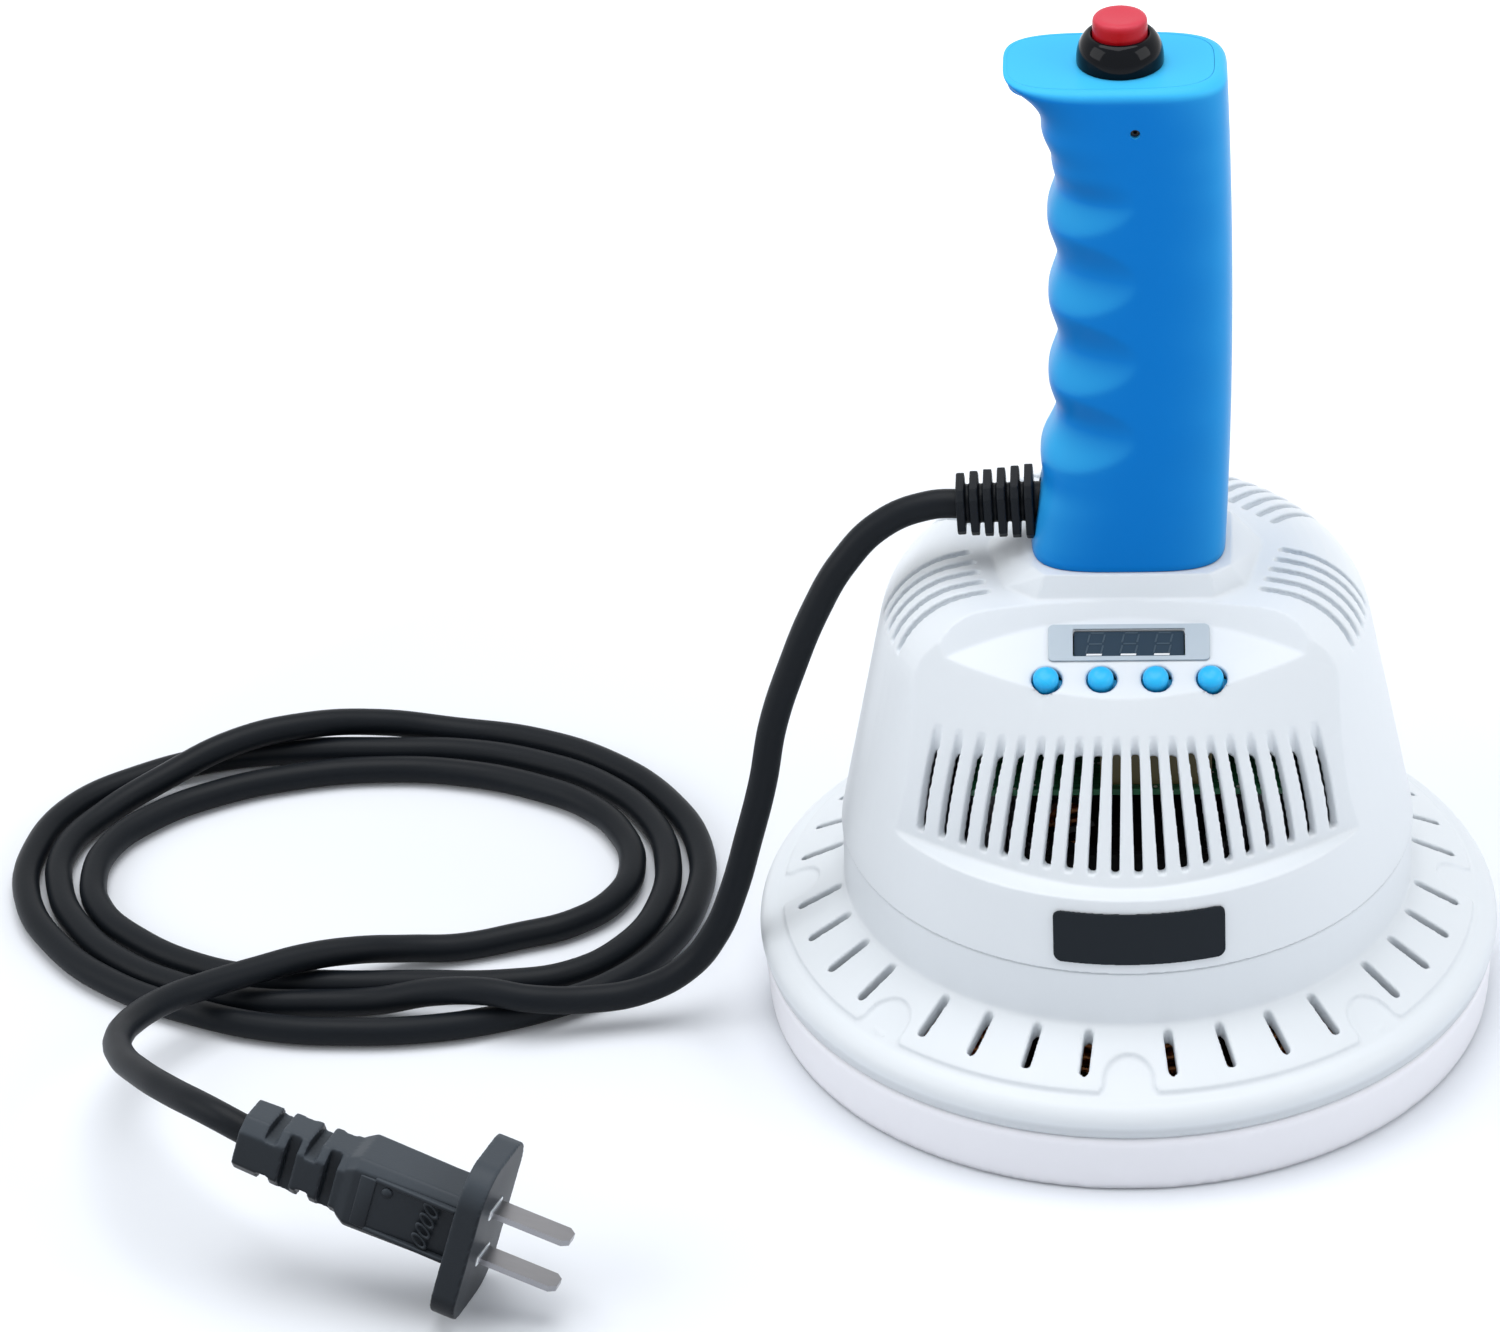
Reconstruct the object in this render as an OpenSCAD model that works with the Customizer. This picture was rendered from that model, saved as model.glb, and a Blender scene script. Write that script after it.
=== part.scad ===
// Hand-held induction cap sealer: a round coil head under a bell-shaped housing, with a grip on top.
// Origin at the centre of the sealing face, +Z up, the control facet and the grille face -Y.

/* [Base] */
// Radius of the base at the sealing face
base_r = 88; // [84:1:94]
// How far the base wall leans out from the sealing face to the parting line
base_flare = 1; // [0:0.25:2]
// Height of the parting line between tray and skirt
base_h = 16; // [14:0.5:18]
// Thickness of the sealing face
base_floor = 3; // [2:0.25:4]
// Wall of the tray and of the skirt
base_wall = 2.5; // [2:0.1:3]
// Chamfer round the foot of the tray
foot_chamfer = 0.8; // [0.2:0.1:1.5]
// Distance from the base's edge in to its screws
boss_in = 7.5; // [7:0.1:9]
// Radius of a screw boss in the base
base_boss = 3.2; // [3:0.1:3.5]

/* [Skirt] */
// Radius of the rounded bead round the skirt's edge
bead_round = 4.6; // [3.5:0.1:5.5]
// How far the bead stands out past the top of the tray
bead_out = 0.8; // [0.2:0.1:1.5]
// Height of the bead's widest point above the parting line
bead_rise = 3.8; // [3:0.1:5]
// Slope of the skirt's top
skirt_slope = 27.5; // [20:0.5:32]
// Width of the shelf from the base's edge in to the collar that carries the housing
shelf_w = 19.3; // [17:0.1:22]
// Height of the collar's top edge above the parting line
collar_h = 32.6; // [30:0.1:36]
// Step between the skirt and its raised slotted field
field_step = 1.2; // [0.6:0.1:1.8]
// Distance from the bead's edge in to the raised field
field_edge = 5.8; // [5:0.1:7]
// Number of bites in the edge of the raised field
bite_count = 8; // [4:1:10]
// Width of a bite
bite_w = 12; // [8:0.5:14]
// How far a bite reaches in from the edge of the field
bite_depth = 9; // [6:0.5:11]
// How far the mouth of a bite flares out to each side
bite_flare = 2.4; // [1:0.2:4]
// Width of a skirt slot
skirt_slot_w = 2.2; // [1.6:0.1:2.8]
// Distance from the field's edge in to the slots
slot_edge = 3.5; // [3:0.1:6]
// Distance from the collar out to the slots
slot_root = 0.9; // [0.8:0.1:3]
// Angle between neighbouring skirt slots
skirt_slot_pitch = 10; // [8:0.5:10]
// Slots between two bites
slots_per_bite = 4; // [2:1:4]

/* [Housing] */
// How far the housing stands out past the collar
crease = 0.3; // [0:0.05:0.6]
// Wall of the housing
housing_wall = 2.5; // [2:0.1:3]
// Inward lean of the housing's side
wall_lean = 11.2; // [9:0.2:13]
// Height of the housing above the collar
housing_h = 71.4; // [68:0.2:76]
// Radius of the shoulder between side and roof
shoulder_r = 19; // [15:0.5:22]
// Depth of the lip that locates the housing in the collar
lip_h = 3; // [2:0.5:5]

/* [Front panel] */
// Height of the band under the ledge
band_h = 18.4; // [16:0.2:20]
// Depth of the ledge under the grille
ledge_w = 4.86; // [4:0.02:6]
// Backward lean of the panel along its middle
panel_lean = 25.6; // [23:0.2:28]
// Half angle of the cone that the panel is part of
panel_cone = 51.8; // [48:0.2:56]
// Distance down the panel's middle line from the ledge to that cone's tip
panel_tip = 36.3; // [30:0.5:44]
// Drop from the roof to the lower edge of the control facet
facet_drop = 13; // [12.5:0.25:15]
// Slope of the control facet
facet_slope = 25; // [22:0.5:28]
// Length of the facet up its slope, to the wall behind it
facet_len = 22.4; // [21.5:0.1:24]
// Radius of the curved wall behind the facet
facet_back_r = 136; // [110:2:170]
// Backward lean of the wall behind the facet
facet_back_lean = 32; // [20:1:40]

/* [Grille] */
// Number of grille slots
grille_count = 20; // [12:1:22]
// Angle between neighbouring grille slots
grille_pitch = 5.35; // [4.5:0.05:5.5]
// Width of a grille slot
grille_w = 2; // [1.5:0.1:2.6]
// Height of the slots' feet above the ledge
grille_rise = 2.5; // [1.5:0.25:4]
// Radius of the surface at which the slots run out
grille_fade_r = 103; // [95:1:120]
// Distance in front of the facet's edge at which the middle slots run out
grille_fade = 3.7; // [2:0.1:6]

/* [Louvres] */
// Width of a groove in the roof
groove_w = 1.9; // [1.2:0.1:2.4]
// Depth of a groove
groove_depth = 1.3; // [0.6:0.1:1.6]
// Distance between neighbouring grooves
groove_pitch = 4.55; // [3.8:0.05:5]
// Number of grooves in a front group
front_grooves = 5; // [3:1:6]
// Direction of the front groups, towards the front
front_groove_turn = 16; // [12:1:20]
// Number of grooves in a rear group
rear_grooves = 7; // [4:1:8]
// How far the grooves reach in from the centre of the shoulder's curve
groove_reach = 5.2; // [3:0.1:6]
// Drop from the roof to the lowest point of the grooves
groove_drop = 13; // [8:0.5:15]

/* [Handle] */
// Height of the pedestal under the handle
pedestal_h = 6; // [4:0.5:10]
// Length of the handle
handle_len = 124.5; // [118:0.5:130]
// Half the handle's depth, front to back
handle_half = 16.5; // [15.5:0.25:18]
// Reach of the palm side from the axis
palm_x = 24.9; // [23:0.1:27]
// Reach of the finger side from the axis
finger_x = 15.9; // [15.5:0.1:17]
// Height of the finger bumps
finger_wave = 1.5; // [0.8:0.1:1.8]
// Distance between finger bumps
finger_pitch = 20.6; // [19:0.1:22]
// Depth to which the grooves pinch the front and back faces
finger_pinch = 2; // [1:0.1:2.5]
// Reach of the lip at the top of the finger side
lip_reach = 9.8; // [7:0.1:11]
// Reach of the foot on the finger side
foot_reach = 4.8; // [3:0.1:6]
// Rounding of the handle's top edge
top_round = 2.5; // [1.5:0.1:3]
// Thickness of the handle's floor
handle_floor = 3.5; // [3:0.25:5]
// Half the depth of the handle's hollow
hollow_half = 11; // [10.8:0.1:11.5]
// Reach of the handle's hollow on the palm side
hollow_palm = 17.5; // [16.5:0.25:18]
// Reach of the handle's hollow on the finger side
hollow_finger = 10; // [9.5:0.25:10.5]
// Margin between the handle's edge and its inset cap
cap_margin = 3; // [2.8:0.1:3.5]
// Thickness of the inset cap
cap_t = 3; // [2:0.25:4]
// Radius of the set screw's hole in the front
set_hole_r = 1.15; // [0.9:0.05:1.5]
// Distance of the set screw below the handle's top
set_drop = 10; // [9:0.5:12]
// Offset of the set screw from the axis
set_x = 3.2; // [0:0.2:4]

/* [Trigger] */
// Radius of the bezel's base
bezel_r = 9.3; // [8.8:0.1:11]
// Height of the bezel above the cap
bezel_h = 6.5; // [5:0.25:8]
// Radius of the bezel's crown
bezel_top_r = 6.9; // [6.7:0.1:8]
// Radius of the switch barrel
barrel_r = 7.5; // [7:0.1:8]
// Length of the barrel below the cap's top
barrel_len = 11; // [10.5:0.25:13]
// Radius of the red button
button_r = 5.6; // [4.5:0.1:6]
// Height of the button's crown above the cap
button_h = 11.5; // [10.5:0.25:13]
// Wall of the button's cup
button_wall = 1.2; // [0.8:0.1:1.5]
// Radius of the button's stem
stem_r = 2.4; // [1.8:0.1:2.6]
// Travel of the button
button_travel = 3; // [1:0.25:3.5]
// Side of the square switch body
switch_side = 14; // [12:0.5:15]
// Height of the switch body
switch_h = 18; // [14:0.5:22]
// Wire of the return spring
spring_wire = 0.6; // [0.4:0.05:0.7]
// Turns of the return spring
spring_turns = 6; // [4:1:8]

/* [Controls] */
// Distance between neighbouring keys
key_pitch = 12.7; // [11:0.1:13]
// Radius of a key
key_r = 3.1; // [2.6:0.1:3.3]
// Gap round a key in its hole
key_gap = 0.5; // [0.3:0.05:0.6]
// Height of a key above the facet
key_h = 2.6; // [2:0.1:3]
// Distance of the keys up the facet
key_v = 5.6; // [5.4:0.1:6]
// Offset of the row of keys from the axis
key_x = 0.9; // [0:0.1:1.5]
// Travel of a key
key_travel = 1; // [0.5:0.1:1.2]
// Width of the display label
label_w = 37.5; // [34:0.5:40]
// Height of the display label
label_h = 10; // [9:0.25:10.5]
// Thickness of the display label
label_t = 0.5; // [0.3:0.1:0.8]
// Width of the display window
window_w = 26; // [22:0.5:28]
// Height of the display window
window_h = 7.5; // [6:0.25:8]
// Depth of the control board below the facet
board_depth = 11; // [10:0.25:12]
// Thickness of the circuit boards
board_t = 1.6; // [1:0.1:2]
// Width of the badge
badge_w = 40; // [30:1:46]
// Height of the badge
badge_h = 12.4; // [9:0.2:13]
// Thickness of the badge
badge_t = 0.7; // [0.4:0.1:1]

/* [Coil] */
// Radius of the coil's wire bundle
wire_r = 2.2; // [1.6:0.1:2.4]
// Number of turns in the coil
coil_turns = 10; // [6:1:11]
// Gap between the coil and the screw bosses round it
coil_gap = 1.1; // [0.5:0.1:4]
// Distance between turns
coil_pitch = 4.7; // [4.6:0.1:5]
// Thickness of the coil former
former_t = 2; // [1.5:0.25:3]
// Number of ferrite bars
ferrite_count = 6; // [4:1:8]
// Width of a ferrite bar
ferrite_w = 10; // [8:0.5:12]
// Thickness of a ferrite bar
ferrite_t = 5; // [3:0.5:6]

/* [Inside] */
// Thickness of the chassis plate
chassis_t = 2; // [1.5:0.25:3]
// Height of the power board above the chassis
power_rise = 35; // [33:0.5:37]
// Side of the cooling fan
fan_side = 50; // [44:1:52]
// Depth of the cooling fan
fan_depth = 12; // [10:0.5:15]
// Radius of the fan's hub
hub_r = 11; // [9:0.5:13]
// Number of fan blades
blade_count = 7; // [5:1:9]
// Width of the heat sink
sink_w = 56; // [44:1:60]
// Depth of the heat sink
sink_d = 16; // [14:0.5:17]
// Height of the heat sink
sink_h = 28; // [22:0.5:30]
// Number of fins
sink_fins = 9; // [6:1:11]

/* [Screws] */
// Radius of a screw's shank
screw_r = 1.5; // [1.2:0.05:1.6]
// Radius of a screw's head
head_r = 2.8; // [2.5:0.1:3]
// Height of a screw's head
head_h = 2.2; // [1.5:0.1:2.6]
// Gap round a screw in its hole
screw_gap = 0.05; // [0.03:0.01:0.1]
// Wall of a screw boss round its hole
boss_wall = 2; // [1.5:0.1:2.2]
// Gap between parts that slip together
slip = 0.3; // [0.2:0.05:0.4]

/* [Strain relief] */
// Height of the cord's exit on the handle above its foot
relief_rise = 10; // [9.5:0.5:12]
// Length of the strain relief outside the handle
relief_len = 20; // [18:0.5:26]
// Width of a rib at the root
rib_w = 16.2; // [14:0.2:17]
// Width of the last rib
rib_end_w = 13.8; // [12:0.2:16]
// Number of ribs
rib_count = 6; // [4:1:7]
// Thickness of a rib
rib_t = 2; // [1.4:0.1:2.2]
// Downward tilt of the strain relief
relief_tilt = 2; // [0:0.5:4]

/* [Cord and plug] */
// Diameter of the cord
cord_d = 7; // [6:0.1:7]
// Length of the plug's boot and body, up to the flange
plug_len = 55; // [50:1:64]
// Height of the plug's boot where the cord enters
boot_h = 11.5; // [10:0.5:13]
// Height of the plug's body behind its flange
plug_h = 18.5; // [16:0.5:22]
// Width of the plug's body
plug_w = 13.5; // [12:0.5:16]
// Long side of the plug's flange
flange_l = 41; // [38:0.5:46]
// Short side of the plug's flange
flange_w = 28; // [24:0.5:30]
// Thickness of the plug's flange
flange_t = 6; // [5:0.5:8]
// Distance between the blades
blade_gap = 12.7; // [12.5:0.1:13]
// Length of a blade
blade_len = 19; // [16:0.5:20]
// Width of a blade
blade_w = 6.4; // [6:0.1:6.5]
// Thickness of a blade
blade_t = 1.5; // [1.4:0.05:1.6]
// Backward lean of the plug as it lies
plug_lean = 10; // [5:1:30]
// Dip of the plug towards its blades as it lies
plug_dip = 14.5; // [5:0.5:20]

/* [Hidden] */
$fn = 64;
EPS = 0.01;
THROUGH = 300;

// Places that follow from the sizes above
tray_top_r = base_r + base_flare;
bead_r = tray_top_r + bead_out;
bead_z = base_h + bead_rise;
collar_r = base_r - shelf_w;
collar_top = base_h + collar_h;
field_r = bead_r - field_edge;
skirt_slot_out = field_r - slot_edge;
skirt_slot_in = collar_r + slot_root;
skirt_z = bead_z + bead_round + (bead_r - bead_round - collar_r) * tan(skirt_slope) - 0.2;
hole_r = screw_r + screw_gap;
boss_r = hole_r + boss_wall;
base_boss_r = base_r - boss_in;
coil_r = base_boss_r - base_boss - coil_gap - wire_r;
housing_r = collar_r + crease;
roof_z = collar_top + housing_h;
ledge_z = collar_top + band_h;
panel_front = wall_x(ledge_z) - ledge_w;
facet_z = roof_z - facet_drop;
handle_foot = roof_z + pedestal_h;
base_screw_turns = [45, 135, 225, 315];
lug_t = 4;
lug_ring = housing_r - 7.5;
lug_turns = [30, 150, 210, 330];
chassis_r = lug_ring - 5.5;
ear_z = collar_top - lug_t - chassis_t;
chassis_z = ear_z;
deck_z = chassis_z + chassis_t;
power_z = deck_z + power_rise;
facet_y = -panel_front + (facet_z - ledge_z) * tan(panel_lean);
shoulder_z = roof_z - shoulder_r;
shoulder_x = wall_x(shoulder_z, shoulder_r);
groove_start = shoulder_x - groove_reach;
groove_end_z = roof_z - groove_drop;
control_half = shoulder_x - 8;
handle_top = handle_foot + handle_len;
label_v = facet_len - 7;
key_wing = key_r + key_gap + 0.8;
coil_z = base_floor + former_t + wire_r;
fan_y = -6;
fan_z = deck_z;
sink_y = fan_y + fan_side / 2 + 3;
cap_z = handle_top - cap_t;
barrel_z = handle_top - barrel_len;
cup_floor = barrel_z + 3;
nut_h = 3.5;
relief_z = handle_foot + relief_rise;
cord_grip = 3.5;
flange_corner = 8.5;
plug_z = 0.3 + (plug_len + flange_t - cord_grip) * sin(plug_dip) + cos(plug_dip) * (flange_corner
    + (flange_l / 2 - flange_corner) * cos(plug_lean) + (flange_w / 2 - flange_corner) * sin(plug_lean));
CHARCOAL = [0.1, 0.1, 0.11];
WHITE = [0.93, 0.94, 0.95];
BLUE = [0.1, 0.5, 0.85];
BOARD_GREEN = [0.1, 0.35, 0.2];
STEEL = [0.75, 0.76, 0.78];

// Route of the cord's centre line from the strain relief to the plug: the drop, three loose turns, the lead
ROUTE = [[-36, 0, 135.4], [-46, 0, 134.9], [-57, -1, 130.5], [-66, -3, 121.5], [-73, -5, 109.5],
    [-79, -8, 95.5], [-84, -10, 80.5], [-87, -12, 65], [-91, -14, 50], [-95, -16, 36.5],
    [-100, -17, 24.5], [-107, -18, 15.5], [-118, -20, 10], [-131, -22, 8.8], [-145, -24, 10.4],
    [-157, -22, 11.3], [-170, -19, 9], [-184, -17, 5], [-199, -16, 3.7], [-216, -15, 3.7],
    [-233, -9, 3.7], [-249, 1, 3.7], [-262, 16, 3.7], [-270, 34, 3.7], [-271, 52, 3.7], [-263, 68, 4],
    [-249, 80, 7], [-232, 90, 11], [-214, 98, 11], [-196, 104, 8], [-176, 106, 4], [-154, 101, 3.7],
    [-133, 89, 3.7], [-117, 71, 3.7], [-108, 49, 3.7], [-108, 27, 3.7], [-114, 8, 3.7], [-126, -8, 3.7],
    [-140, -17, 3.7], [-154, -23, 3.7], [-171, -27, 3.7], [-190, -28, 3.7], [-210, -26, 3.7],
    [-230, -19, 3.7], [-250, -8, 3.7], [-267, 9, 3.7], [-278, 31, 3.7], [-279, 51, 3.7], [-272, 71, 3.7],
    [-256, 85, 3.7], [-236, 94, 3.7], [-214, 97, 3.7], [-193, 97, 3.7], [-172, 96, 3.7], [-152, 90, 3.7],
    [-134, 79, 3.7], [-121, 62, 3.7], [-116, 44, 3.7], [-117, 25, 3.7], [-124, 8, 3.7], [-137, -4, 3.7],
    [-154, -8, 3.7], [-174, -8, 3.7], [-194, -8, 3.7], [-213, -6, 3.7], [-231, 0, 3.7], [-247, 11, 3.7],
    [-258, 24, 3.7], [-262, 38, 3.7], [-260, 53, 3.7], [-251, 66, 3.7], [-236, 77, 3.7], [-215, 85, 3.7],
    [-193, 88, 3.7], [-172, 86, 3.7], [-152, 79, 3.7], [-138, 70, 3.7], [-129, 58, 3.7], [-125, 43, 3.7],
    [-128, 29, 3.7], [-138, 18, 3.7], [-152, 12, 3.7], [-166, 7.5, 3.7], [-178, 4.5, 5.5], [-190, -1, 9],
    [-202, -7, 11.2], [-213, -14, 12.4], [-224, -22, 13.8], [-233, -31, 15.8], [-239, -42, 18.3],
    [-241, -55, 22], [-238, -69, 26.8], [-231, -83, 32], [-222, -96, 36.4], [-211, -107, 38.6],
    [-199, -113, plug_z]];
cord_sides = 8;
plug_turn = -17;

// Outer radius of the housing's side at a height, moved in by an inset
function wall_x(z, inset = 0) = housing_r - (z - collar_top) * tan(wall_lean) - inset / cos(wall_lean);
function ramp(from, to, z) = min(1, max(0, (z - from) / (to - from)));
function smooth(t) = t * t * (3 - 2 * t);

// Screw with a pan head below z = 0 and its shank up +Z
module screw(shank) {
    cylinder(h = shank, r = screw_r);
    translate([0, 0, -head_h])
        difference() {
            cylinder(h = head_h, r = head_r);
            translate([0, 0, -EPS])
                cylinder(h = head_h / 2, r = screw_r * 0.7, $fn = 6);
        }
}

// Flat rectangle with round corners, about the origin
module rounded_plate(width, length, corner) {
    for (x = [-1, 1], y = [-1, 1])
        translate([x * (width / 2 - corner), y * (length / 2 - corner)])
            circle(r = corner, $fn = 32);
    square([width - 2 * corner, length], center = true);
    square([width, length - 2 * corner], center = true);
}

module at_turns(turns, radius) {
    for (turn = turns)
        rotate([0, 0, turn])
            translate([radius, 0, 0])
                children();
}

// Base

module base_tray() {
    color(WHITE)
        difference() {
            rotate_extrude($fn = 180)
                polygon([[0, 0], [base_r - foot_chamfer, 0], [base_r, foot_chamfer], [tray_top_r, base_h],
                    [tray_top_r - base_wall, base_h], [base_r - base_wall, base_floor], [0, base_floor]]);
            at_turns(base_screw_turns, base_boss_r) {
                translate([0, 0, -EPS])
                    cylinder(h = base_floor + 1, r = hole_r);
                translate([0, 0, -EPS])
                    cylinder(h = head_r - hole_r + 0.2, r1 = head_r + 0.2, r2 = hole_r);
            }
        }
}

module base_screws() {
    color(STEEL)
        at_turns(base_screw_turns, base_boss_r)
            translate([0, 0, 0.3]) {
                cylinder(h = head_r - screw_r, r1 = head_r - 0.3, r2 = screw_r - 0.1);
                cylinder(h = 12, r = screw_r);
            }
}

// Section of the skirt's outer form and of the hollow under it
module skirt_section(inset) {
    edge = bead_r - inset;
    slope_z = skirt_z - inset / cos(skirt_slope);
    intersection() {
        union() {
            polygon([[0, base_h], [edge - bead_out, base_h], [edge, bead_z],
                [bead_r - bead_round, bead_z + bead_round - inset], [collar_r - inset, slope_z],
                [0, slope_z]]);
            translate([bead_r - bead_round, bead_z])
                circle(r = bead_round - inset);
            translate([0, base_h])
                square([collar_r - inset, collar_h + (inset > 0 ? EPS : 0)]);
        }
        translate([0, base_h])
            square([2 * base_r, collar_h + 1]);
    }
}

module field_section() {
    fall = (field_r - collar_r) * tan(skirt_slope);
    polygon([[collar_r - 1, skirt_z - 1], [field_r, skirt_z - fall - 1],
        [field_r, skirt_z - fall + field_step], [collar_r - 1, skirt_z + field_step + tan(skirt_slope)]]);
}

module bite_outline() {
    translate([field_r - bite_depth + bite_w / 2, 0])
        circle(d = bite_w, $fn = 48);
    translate([field_r - bite_depth + bite_w / 2, -bite_w / 2])
        square([bite_depth, bite_w]);
    polygon([[field_r - bite_flare, bite_w / 2], [field_r - bite_flare / 2, bite_w / 2 + bite_flare / 8],
        [field_r + 1, bite_w / 2 + bite_flare], [field_r + 1, -bite_w / 2 - bite_flare],
        [field_r - bite_flare / 2, -bite_w / 2 - bite_flare / 8], [field_r - bite_flare, -bite_w / 2]]);
}

module slot_outline(from, to, width) {
    translate([from + width / 2, 0])
        circle(d = width, $fn = 24);
    translate([to - width / 2, 0])
        circle(d = width, $fn = 24);
    translate([from + width / 2, -width / 2])
        square([to - from - width, width]);
}

module skirt_cover() {
    sector = 360 / bite_count;
    first = sector / 2 - (slots_per_bite - 1) / 2 * skirt_slot_pitch;
    boss_top = skirt_z - (base_boss_r - collar_r) * tan(skirt_slope) - 1;
    color(WHITE)
        difference() {
            union() {
                difference() {
                    rotate_extrude($fn = 180)
                        difference() {
                            skirt_section(0);
                            skirt_section(base_wall);
                        }
                    translate([0, 0, collar_top - EPS])
                        cylinder(h = 1, r = collar_r + 1);
                }
                difference() {
                    rotate_extrude($fn = 180)
                        field_section();
                    for (i = [0 : bite_count - 1])
                        rotate([0, 0, i * sector - 90])
                            linear_extrude(height = collar_top)
                                bite_outline();
                }
                at_turns(base_screw_turns, base_boss_r)
                    translate([0, 0, base_floor])
                        cylinder(h = boss_top - base_floor, r = base_boss);
                at_turns(lug_turns, lug_ring)
                    translate([0, 0, collar_top - lug_t]) {
                        cylinder(h = lug_t, r = boss_r + 0.4);
                        translate([0, -2.5, 0])
                            cube([collar_r - lug_ring - 1, 5, lug_t]);
                    }
            }
            for (i = [0 : bite_count - 1], k = [0 : slots_per_bite - 1])
                rotate([0, 0, i * sector + first + k * skirt_slot_pitch - 90])
                    translate([0, 0, base_h])
                        linear_extrude(height = collar_top - base_h - lug_t)
                            slot_outline(skirt_slot_in, skirt_slot_out, skirt_slot_w);
            at_turns(base_screw_turns, base_boss_r)
                translate([0, 0, base_floor - EPS])
                    cylinder(h = 12, r = hole_r);
            at_turns(lug_turns, lug_ring)
                translate([0, 0, collar_top - lug_t - EPS])
                    cylinder(h = lug_t + 1, r = hole_r);
        }
}

// Coil

module coil_former() {
    inner_r = coil_r - (coil_turns - 1) * coil_pitch;
    color([0.85, 0.83, 0.78])
        translate([0, 0, base_floor])
            difference() {
                union() {
                    cylinder(h = former_t, r = coil_r + wire_r, $fn = 120);
                    cylinder(h = former_t + 2 * wire_r, r = inner_r - wire_r - slip);
                }
                translate([0, 0, -EPS])
                    cylinder(h = former_t + 2 * wire_r + 1, r = inner_r - wire_r - slip - 3);
            }
}

module induction_coil() {
    color([0.72, 0.38, 0.2])
        translate([0, 0, coil_z])
            for (i = [0 : coil_turns - 1])
                rotate_extrude($fn = 120)
                    translate([coil_r - i * coil_pitch, 0])
                        circle(r = wire_r, $fn = 24);
}

module ferrite_bars() {
    inner_r = coil_r - (coil_turns - 1) * coil_pitch;
    color([0.2, 0.2, 0.22])
        for (i = [0 : ferrite_count - 1])
            rotate([0, 0, i * 360 / ferrite_count])
                translate([inner_r, -ferrite_w / 2, coil_z + wire_r])
                    cube([coil_r - inner_r - 8, ferrite_w, ferrite_t]);
}

// Chassis and electronics

power_half = chassis_r - 19;
power_front = 16 - chassis_r;
power_back = chassis_r - 24;
power_posts = [for (x = [-1, 1], y = [-1, 1]) [x * (chassis_r - 24), y * (chassis_r - 30)]];
post_r = boss_r;

module chassis_plate() {
    color([0.78, 0.78, 0.76])
        difference() {
            union() {
                translate([0, 0, chassis_z])
                    cylinder(h = chassis_t, r = chassis_r, $fn = 120);
                at_turns(lug_turns, lug_ring)
                    translate([0, 0, chassis_z]) {
                        cylinder(h = chassis_t, r = boss_r + 0.4);
                        translate([chassis_r - lug_ring - 6, -boss_r - 0.4, 0])
                            cube([lug_ring - chassis_r + 6, 2 * boss_r + 0.8, chassis_t]);
                    }
                for (p = power_posts)
                    translate([p[0], p[1], deck_z - EPS])
                        cylinder(h = power_rise + EPS, r = post_r);
            }
            translate([0, fan_y, chassis_z - 1])
                cylinder(h = chassis_t + 2, r = fan_side / 2 - 2);
            at_turns(lug_turns, lug_ring)
                translate([0, 0, chassis_z - 1])
                    cylinder(h = chassis_t + 2, r = hole_r);
            for (p = power_posts)
                translate([p[0], p[1], power_z - 10])
                    cylinder(h = 11, r = hole_r);
            fan_holes()
                translate([0, 0, chassis_z - 1])
                    cylinder(h = chassis_t + 2, r = hole_r);
        }
}

module fan_holes() {
    reach = fan_side / 2 - 4;
    for (x = [-reach, reach], y = [-reach, reach])
        translate([x, fan_y + y, 0])
            children();
}

module power_board() {
    color(BOARD_GREEN)
        difference() {
            translate([-power_half, power_front, power_z])
                cube([2 * power_half, power_back - power_front, board_t]);
            for (p = power_posts)
                translate([p[0], p[1], power_z - 1])
                    cylinder(h = board_t + 2, r = hole_r);
        }
}

module power_board_screws() {
    color(STEEL)
        for (p = power_posts)
            translate([p[0], p[1], power_z + board_t])
                rotate([180, 0, 0])
                    screw(9);
}

module film_capacitor() {
    size = [26, 11, 10.5];
    color([0.85, 0.68, 0.2])
        translate([7 - size[0] / 2, power_front + 2, power_z + board_t])
            difference() {
                cube(size);
                for (x = [-EPS, size[0] - 0.8])
                    translate([x, -EPS, size[2] - 0.8])
                        cube([0.8 + EPS, size[1] + 1, 1]);
            }
}

module electrolytic_capacitors() {
    color([0.15, 0.17, 0.3])
        for (x = [32 - chassis_r, chassis_r - 32])
            translate([x, 10, power_z + board_t])
                difference() {
                    cylinder(h = 22, r = 7);
                    translate([0, 0, 21.5])
                        cube([10, 0.8, 2], center = true);
                    translate([0, 0, 19])
                        rotate_extrude()
                            translate([7.2, 0])
                                circle(r = 0.7, $fn = 24);
                }
}

module choke() {
    color([0.6, 0.3, 0.15])
        translate([0, 8, power_z + board_t + 4.5])
            rotate_extrude()
                translate([9, 0])
                    circle(r = 4.5, $fn = 32);
}

module heat_sink() {
    fin_gap = sink_w / sink_fins;
    color([0.7, 0.72, 0.74])
        translate([-sink_w / 2, sink_y, deck_z])
            difference() {
                cube([sink_w, sink_d, sink_h]);
                for (i = [0 : sink_fins - 1])
                    translate([(i + 0.25) * fin_gap, 4, -1])
                        cube([fin_gap / 2, sink_d, sink_h + 2]);
            }
}

module power_transistors() {
    color(CHARCOAL)
        for (x = [-sink_w * 0.28, 0, sink_w * 0.28])
            translate([x - 5, sink_y - 2.6, deck_z + fan_depth + 2])
                cube([10, 2.6, 12]);
}

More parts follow.
